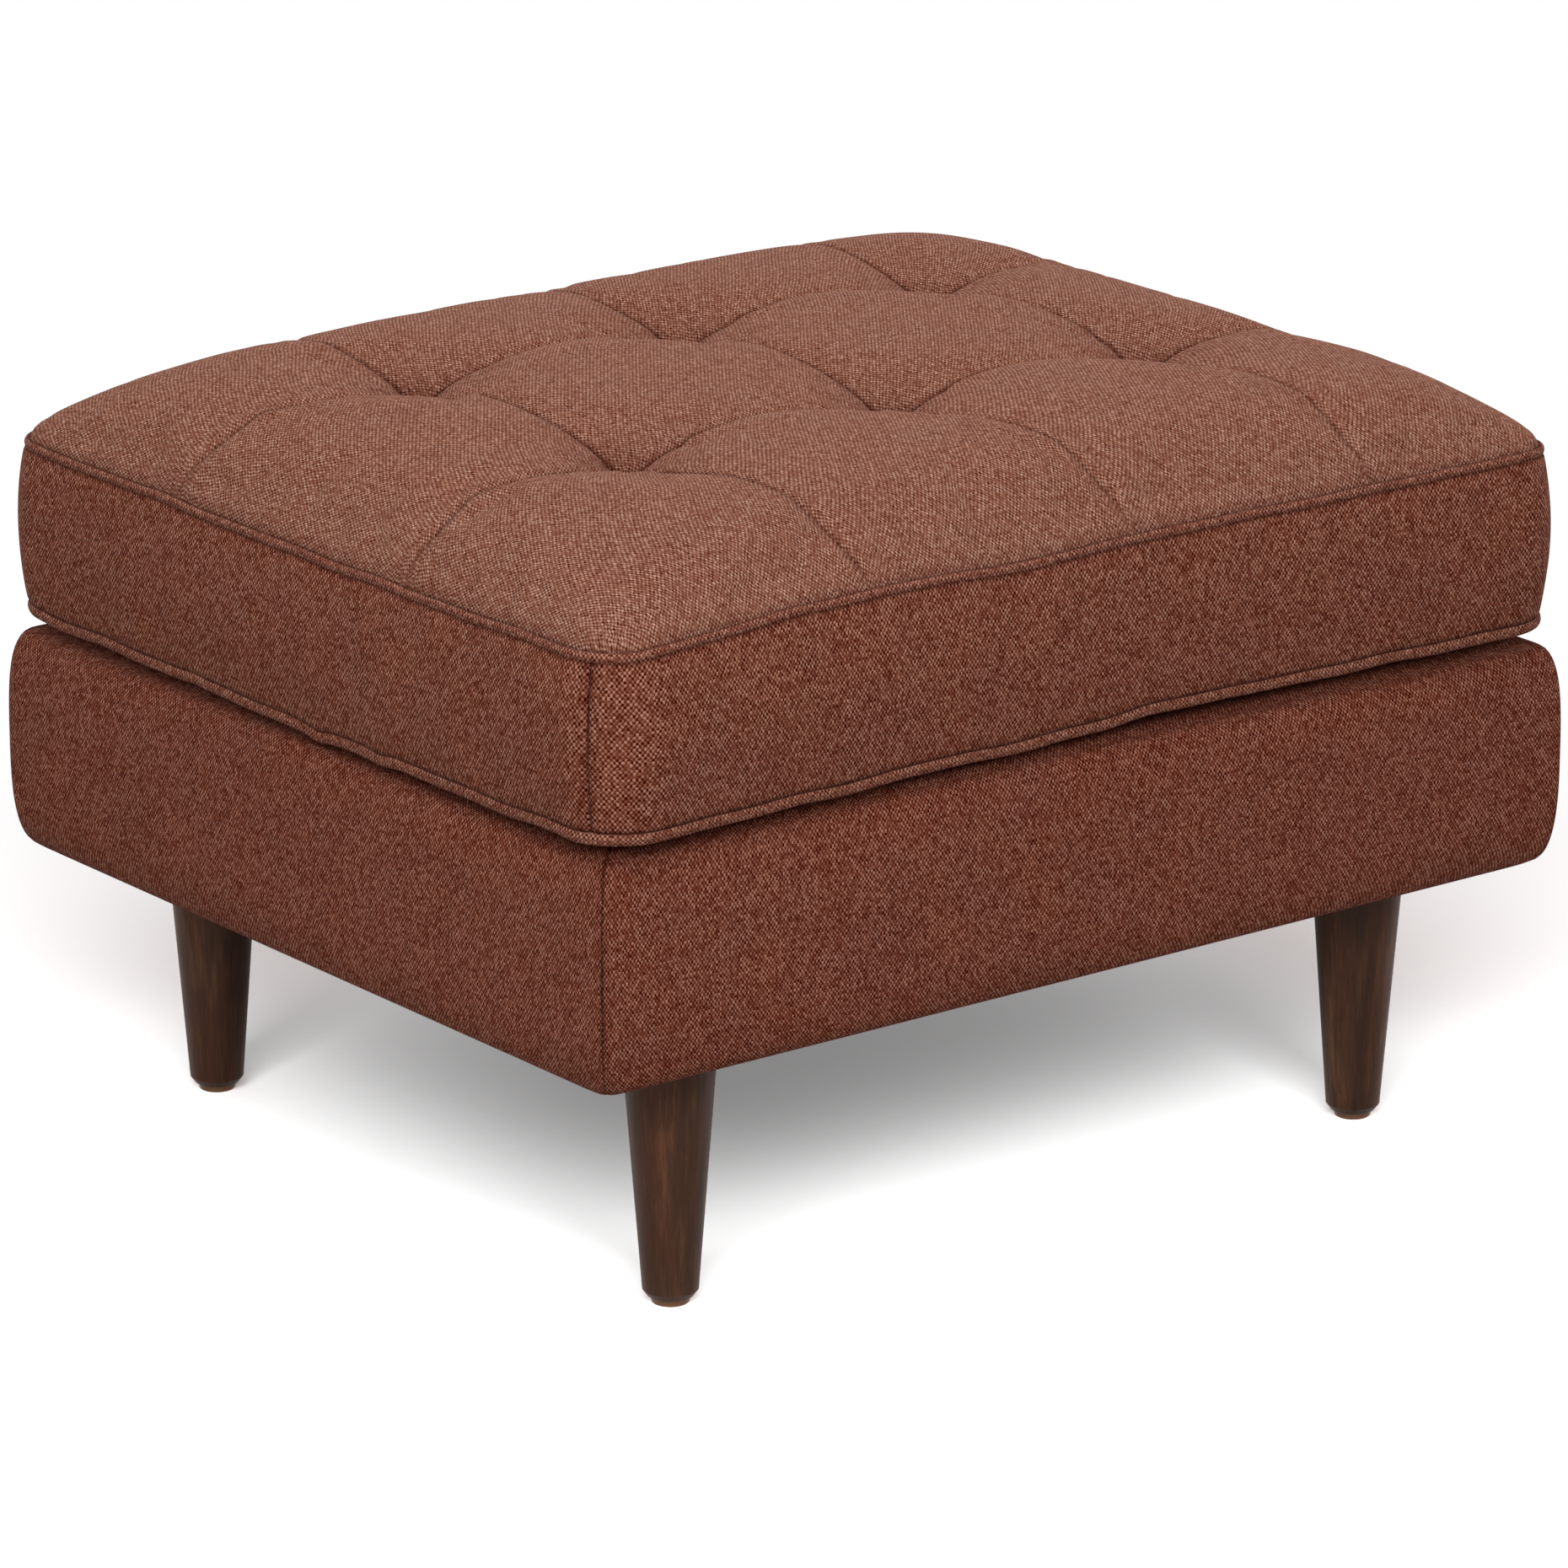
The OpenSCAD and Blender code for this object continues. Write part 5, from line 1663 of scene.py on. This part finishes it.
    def build_dust_cloth(self) -> bpy.types.Object:
        """Builds the cloth stapled under the base, slack between its staples.

        Returns:
            The piece.
        """
        w, d = self.half_w - self.dust_inset, self.half_d - self.dust_inset
        along, across = np.linspace(-w, w, 100), np.linspace(-d, d, 84)

        def shape(x: np.ndarray, y: np.ndarray) -> Surface:
            """Shapes the cloth, sagging softly away from its edges.

            Args:
                x: places across the base.
                y: places from front to back.

            Returns:
                x, y and z.
            """
            bowl = (1 - (x / w) ** 2) * (1 - (y / d) ** 2)
            wave = 0.4 * MM * ripple(x, y, 71, (0.22, 0.12)) * np.clip(bowl * 3, 0, 1)
            return x, y, self.low_z - 0.05 * MM - 2.0 * MM * bowl**2 + wave

        piece = ClothPiece("dust_cloth", along, across, wall=0.5 * MM).build(shape)
        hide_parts("dust_cover")
        return piece

    def build_staples(self) -> bpy.types.Object:
        """Builds the staples round the cloth underneath: one rounded bar, copied to each place.

        Returns:
            All staples, as one object.
        """
        w, d = self.half_w - self.staple_inset, self.half_d - self.staple_inset
        far_x, far_y = w - self.staple_margin, d - self.staple_margin
        spots = [(x, side * d, 0.0) for side in (-1, 1) for x in np.linspace(-far_x, far_x, 15)]
        spots += [(side * w, y, 90.0) for side in (-1, 1) for y in np.linspace(-far_y, far_y, 12)]
        deselect()
        bpy.ops.mesh.primitive_cube_add(size=1.0, location=(0, 0, self.low_z - 0.9 * MM))
        staple = bpy.context.object
        bpy.ops.transform.resize(value=(10 * MM, 1.2 * MM, 0.6 * MM))
        bpy.ops.object.transform_apply(location=True, rotation=True, scale=True)
        bevel = staple.modifiers.new("rounded", "BEVEL")
        bevel.width = 0.25 * MM
        bevel.segments = 2
        finish_modifiers(staple)
        copies = []
        for x, y, turn in spots:
            copy = staple.copy()
            copy.data = staple.data.copy()
            bpy.context.scene.collection.objects.link(copy)
            copy.location = (x, y, 0)
            copy.rotation_euler[2] = math.radians(turn)
            copies.append(copy)
        bpy.data.objects.remove(staple)
        deselect()
        for copy in copies:
            copy.select_set(True)
        bpy.context.view_layer.objects.active = copies[0]
        bpy.ops.object.join()
        joined = bpy.context.object
        joined.name = "dust_cloth_staples"
        bpy.ops.object.transform_apply(location=True, rotation=True, scale=True)
        steel = Speckled(
            "staple_steel", srgb(150, 150, 152), srgb(190, 190, 192), 900.0, 0.35, metallic=1.0
        )
        joined.data.materials.append(steel.make())
        return joined


# ---------------------------------------------------------------- zip tape


@dataclass
class ZipTape:
    """The woven tape behind the zip's teeth.

    Attributes:
        half: half of the tape's length.
        back: where its face lies from front to back.
        middle_z: height of the zip's middle line.
        inner: distance of each strip's corded edge from that line.
        outer: distance of its other edge.
    """

    half: float = 258 * MM
    back: float = 313.858 * MM
    middle_z: float = 383.9 * MM
    inner: float = 3.1 * MM
    outer: float = 14 * MM

    def build(self) -> bpy.types.Object:
        """Builds and dresses both strips of tape.

        Returns:
            The strips, as one object.
        """
        tape = WovenCloth(
            "zip_tape_cloth", srgb(40, 26, 22), srgb(58, 38, 32), srgb(76, 52, 44),
            warp_pitch=0.6 * MM, weft_pitch=0.6 * MM, sheen=0.05, relief=0.12 * MM,
        ).make()
        lower, upper = self.build_strip(-1), self.build_strip(1)
        activate(lower)
        upper.select_set(True)
        bpy.ops.object.join()
        joined = bpy.context.object
        joined.name = "zip_tape_woven"
        joined.data.materials.append(tape)
        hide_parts("zip_tape")
        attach(joined, "cushion")
        LOG.info("%s: %d faces", joined.name, len(joined.data.polygons))
        return joined

    def build_strip(self, side: int) -> bpy.types.Object:
        """Builds one strip of tape, with a corded edge beside the teeth.

        Args:
            side: 1 for the strip above the teeth, and -1 for the one below.

        Returns:
            The strip.
        """
        along = np.linspace(-self.half, self.half, 160)
        across = np.linspace(self.inner, self.outer, 9)

        def shape(x: np.ndarray, lift: np.ndarray) -> Surface:
            """Shapes the strip, thicker by the teeth.

            Args:
                x: places along the zip.
                lift: distances from the zip's middle line.

            Returns:
                x, y and z.
            """
            cord = 0.12 * MM * np.exp(-((lift - self.inner) / (0.9 * MM)) ** 2)
            return -side * x, self.back - 0.15 * MM + cord, self.middle_z + side * lift

        return ClothPiece(f"zip_tape_{side}", along, across, wall=0.6 * MM).build(shape)


# ---------------------------------------------------------------- CAD nodes


@dataclass
class Hardware:
    """Gives each CAD node that stays its own finish.

    Attributes:
        leg_x: distance of the legs from the middle, to the left and right.
        leg_y: their distance to the front and back.
        heart_x: how far the wood's heart lies beside a leg's axis in x.
        heart_y: how far it lies beside it in y.
    """

    leg_x: float = 274.5 * MM
    leg_y: float = 245 * MM
    heart_x: float = 21 * MM
    heart_y: float = -30 * MM

    def dress(self) -> None:
        """Assigns a material to every CAD node."""
        # Each leg's side in x and y, and the seed of its grain
        legs = {
            "leg_front_left": (-1, -1, 0.3), "leg_front_right": (1, -1, 4.1),
            "leg_back_left": (-1, 1, 7.7), "leg_back_right": (1, 1, 11.9),
        }
        slots = {entry["node"]: entry["material_slot"] for entry in frame["record"]["subparts"]}
        finishes = {
            "frame_wood": PlainWood(
                "frame_wood", srgb(176, 142, 98), srgb(212, 182, 138), rates=(0.08, 0.08, 1.0)
            ),
            "steel": Speckled(
                "zinc_steel", srgb(140, 142, 146), srgb(186, 188, 192), 320.0, 0.36, metallic=1.0
            ),
            "zip_metal": Speckled(
                "zip_metal", srgb(150, 144, 132), srgb(196, 190, 178), 700.0, 0.32, metallic=1.0
            ),
            "glide_plastic": Speckled(
                "glide_plastic", srgb(98, 56, 22), srgb(128, 78, 34), 160.0, 0.34,
                relief=0.02 * MM, coat=0.2,
            ),
            "padding": Speckled(
                "padding", srgb(214, 208, 190), srgb(240, 236, 222), 900.0, 0.95, relief=0.6 * MM
            ),
            "felt": Speckled(
                "felt", srgb(104, 102, 98), srgb(140, 138, 132), 1400.0, 0.95, relief=0.5 * MM
            ),
            "black_cloth": Speckled("black_cloth", srgb(26, 24, 24), srgb(44, 42, 42), 1800.0, 0.9),
            "twine": Speckled("twine", srgb(170, 150, 118), srgb(204, 186, 152), 1500.0, 0.8),
            "rust_cloth": Speckled("rust_cloth_inner", RUST[0], RUST[2], 900.0, 0.95),
        }
        made = {slot: finish.make() for slot, finish in finishes.items()}
        for name, obj in frame["nodes"].items():
            if name in legs:
                side_x, side_y, seed = legs[name]
                heart = (side_x * self.leg_x + self.heart_x, side_y * self.leg_y + self.heart_y)
                material = TurnedWood(f"walnut_{name}", *WALNUT, centre=heart, seed=seed).make()
            else:
                material = made[slots[name]]
            obj.data.materials.clear()
            obj.data.materials.append(material)
        LOG.info("dressed %d CAD nodes", len(frame["nodes"]))


# ---------------------------------------------------------------- the studio


@dataclass(frozen=True)
class Lamp:
    """A rectangular soft lamp that points at the stool; sizes in metres, power in watts."""

    name: str
    place: tuple[float, float, float]
    size: tuple[float, float]
    power: float

    def light(self) -> bpy.types.Object:
        """Adds the lamp.

        Returns:
            The lamp, hidden from the camera.
        """
        deselect()
        bpy.ops.object.light_add(type="AREA", location=self.place)
        lamp = bpy.context.object
        lamp.name = self.name
        lamp.data.shape = "RECTANGLE"
        lamp.data.size, lamp.data.size_y = self.size
        lamp.data.energy = self.power
        lamp.visible_camera = False
        beam = Vector((0, 0, 0.25)) - Vector(self.place)
        lamp.rotation_euler = beam.to_track_quat("-Z", "Y").to_euler()
        return lamp


KEY = Lamp("key", (-2.12, -2.64, 2.37), (3.9, 1.4), 81.0)
FILLS = (
    Lamp("overhead", (0.0, 0.1, 3.2), (2.8, 2.8), 43.0),
    Lamp("low_fill", (-2.8, -2.0, 0.5), (3.0, 0.8), 10.0),
    Lamp("right_fill", (3.3, -0.4, 1.1), (2.4, 1.4), 38.0),
    Lamp("back_fill", (-0.6, 3.4, 1.5), (3.0, 1.6), 38.0),
)


@dataclass
class Studio:
    """A pale floor, soft lamps and the camera of the photo.

    Attributes:
        lens: the camera's focal length, in millimetres.
        azimuth: where it stands round the stool, in degrees from the front.
        elevation: its height above the floor, in degrees.
        distance: its distance from the target.
        target: the place that it looks at.
        floor_size: width of the floor.
        floor_seen: how pale the floor is to the camera, so that its lit part is white.
        floor_mirrored: how pale it is in reflections, where its lit part is at most white.
        floor_grey: how pale it is to the light that falls on the stool.
        floor_glow: a light of its own, which keeps the shadow from turning black.
        shadow_end: distance from the middle at which the shadow has ended.
        fade: width of the change to a plain white.
        world_light: strength of the even light on the stool.
    """

    lens: float = 195.3
    azimuth: float = -37.663
    elevation: float = 17.494
    distance: float = 5.5457
    target: tuple[float, float, float] = (0.0643, 0.0814, 0.182)
    floor_size: float = 60.0
    floor_seen: float = 4.0
    floor_mirrored: float = 2.1
    floor_grey: float = 0.45
    floor_glow: float = 0.15
    shadow_end: float = 0.62
    fade: float = 0.7
    world_light: float = 0.12

    def build(self) -> None:
        """Sets the floor, the world, the lamps and the camera."""
        floor = self.build_floor()
        self.build_world()
        KEY.light()
        for fill in FILLS:
            self.keep_off(fill.light(), floor)
        self.build_camera()
        bpy.context.scene.view_settings.view_transform = "Standard"

    def build_floor(self) -> bpy.types.Object:
        """Adds the floor, white to the eye and in reflections, with the stool's shadow on it.

        To the light that falls on the stool the floor is a plain grey.

        Returns:
            The floor.
        """
        deselect()
        bpy.ops.mesh.primitive_plane_add(size=self.floor_size, location=(0, 0, 0))
        floor = bpy.context.object
        floor.name = "floor"
        g = Graph("studio_floor")
        paths = g.node("ShaderNodeLightPath", {}, {})
        mirrored = (paths["Is Glossy Ray"] + paths["Is Transmission Ray"]).clamp()
        seen = (paths["Is Camera Ray"] + mirrored).clamp()
        pale = mirrored.mix(self.floor_seen, self.floor_mirrored)
        matt = g.node("ShaderNodeBsdfDiffuse", {}, {"Color": g.vector(pale, pale, pale)})["BSDF"]
        grey = (self.floor_grey, self.floor_grey, self.floor_grey, 1.0)
        dull = g.node("ShaderNodeBsdfDiffuse", {}, {"Color": grey})["BSDF"]
        glow = self.glow(g, self.floor_glow)
        near = g.node("ShaderNodeAddShader", {}, {0: matt, 1: glow})["Shader"]
        # Past the end of the shadow the floor turns softly into a plain white
        x, y, _ = g.split(g.node("ShaderNodeTexCoord", {}, {})["Object"])
        far = (((x * x + y * y) ** 0.5 - self.shadow_end) / self.fade).clamp()
        share = far * far * (3.0 - far * 2.0)
        bright = g.node("ShaderNodeMixShader", {}, {0: share, 1: near, 2: self.glow(g, 1.0)})
        mixed = g.node("ShaderNodeMixShader", {}, {0: seen, 1: dull, 2: bright["Shader"]})
        g.tree.links.new(mixed["Shader"].socket, g.end.inputs["Surface"])
        floor.data.materials.append(g.material)
        return floor

    @staticmethod
    def glow(g: Graph, strength: float) -> Value:
        """Returns a white glow of that strength."""
        sockets = {"Color": (1, 1, 1, 1), "Strength": strength}
        return g.node("ShaderNodeEmission", {}, sockets)["Emission"]

    @staticmethod
    def keep_off(lamp: bpy.types.Object, floor: bpy.types.Object) -> None:
        """Keeps a filling lamp off the floor, so that only the key lamp casts a shadow there.

        Args:
            lamp: the filling lamp.
            floor: the floor.
        """
        unlit = bpy.data.collections.new(f"{lamp.name}_skips")
        unlit.objects.link(floor)
        lamp.light_linking.receiver_collection = unlit
        unlit.collection_objects[0].light_linking.link_state = "EXCLUDE"

    def build_world(self) -> None:
        """Makes the world white to the eye and a soft even light to the stool."""
        world = bpy.data.worlds.new("studio")
        bpy.context.scene.world = world
        world.use_nodes = True
        tree = world.node_tree
        tree.nodes.clear()
        paths = tree.nodes.new("ShaderNodeLightPath")
        seen = tree.nodes.new("ShaderNodeMath")
        seen.operation = "MAXIMUM"
        tree.links.new(paths.outputs["Is Camera Ray"], seen.inputs[0])
        tree.links.new(paths.outputs["Is Glossy Ray"], seen.inputs[1])
        also = tree.nodes.new("ShaderNodeMath")
        also.operation = "MAXIMUM"
        tree.links.new(seen.outputs[0], also.inputs[0])
        tree.links.new(paths.outputs["Is Transmission Ray"], also.inputs[1])
        mix = tree.nodes.new("ShaderNodeMixShader")
        tree.links.new(also.outputs[0], mix.inputs[0])
        for place, strength in ((1, self.world_light), (2, 1.0)):
            sky = tree.nodes.new("ShaderNodeBackground")
            sky.inputs["Color"].default_value = (1, 1, 1, 1)
            sky.inputs["Strength"].default_value = strength
            tree.links.new(sky.outputs[0], mix.inputs[place])
        end = tree.nodes.new("ShaderNodeOutputWorld")
        tree.links.new(mix.outputs[0], end.inputs["Surface"])

    def build_camera(self) -> None:
        """Adds the camera at the photo's viewing angle."""
        az, el = math.radians(self.azimuth), math.radians(self.elevation)
        away = Vector((math.sin(az) * math.cos(el), -math.cos(az) * math.cos(el), math.sin(el)))
        place = Vector(self.target) + away * self.distance
        deselect()
        turn = (-away).to_track_quat("-Z", "Y").to_euler()
        bpy.ops.object.camera_add(location=place, rotation=turn)
        camera = bpy.context.object
        camera.data.lens = self.lens
        camera.data.sensor_width = 36.0
        camera.data.sensor_fit = "AUTO"
        camera.data.clip_end = 100.0
        bpy.context.scene.camera = camera


def main() -> None:
    """Builds the studio and dresses the footstool, piece by piece."""
    logging.basicConfig(level=logging.INFO, format="%(message)s")
    Studio().build()
    Hardware().dress()
    Base().build()
    Cushion().build()
    ZipTape().build()


if __name__ == "__main__":
    main()
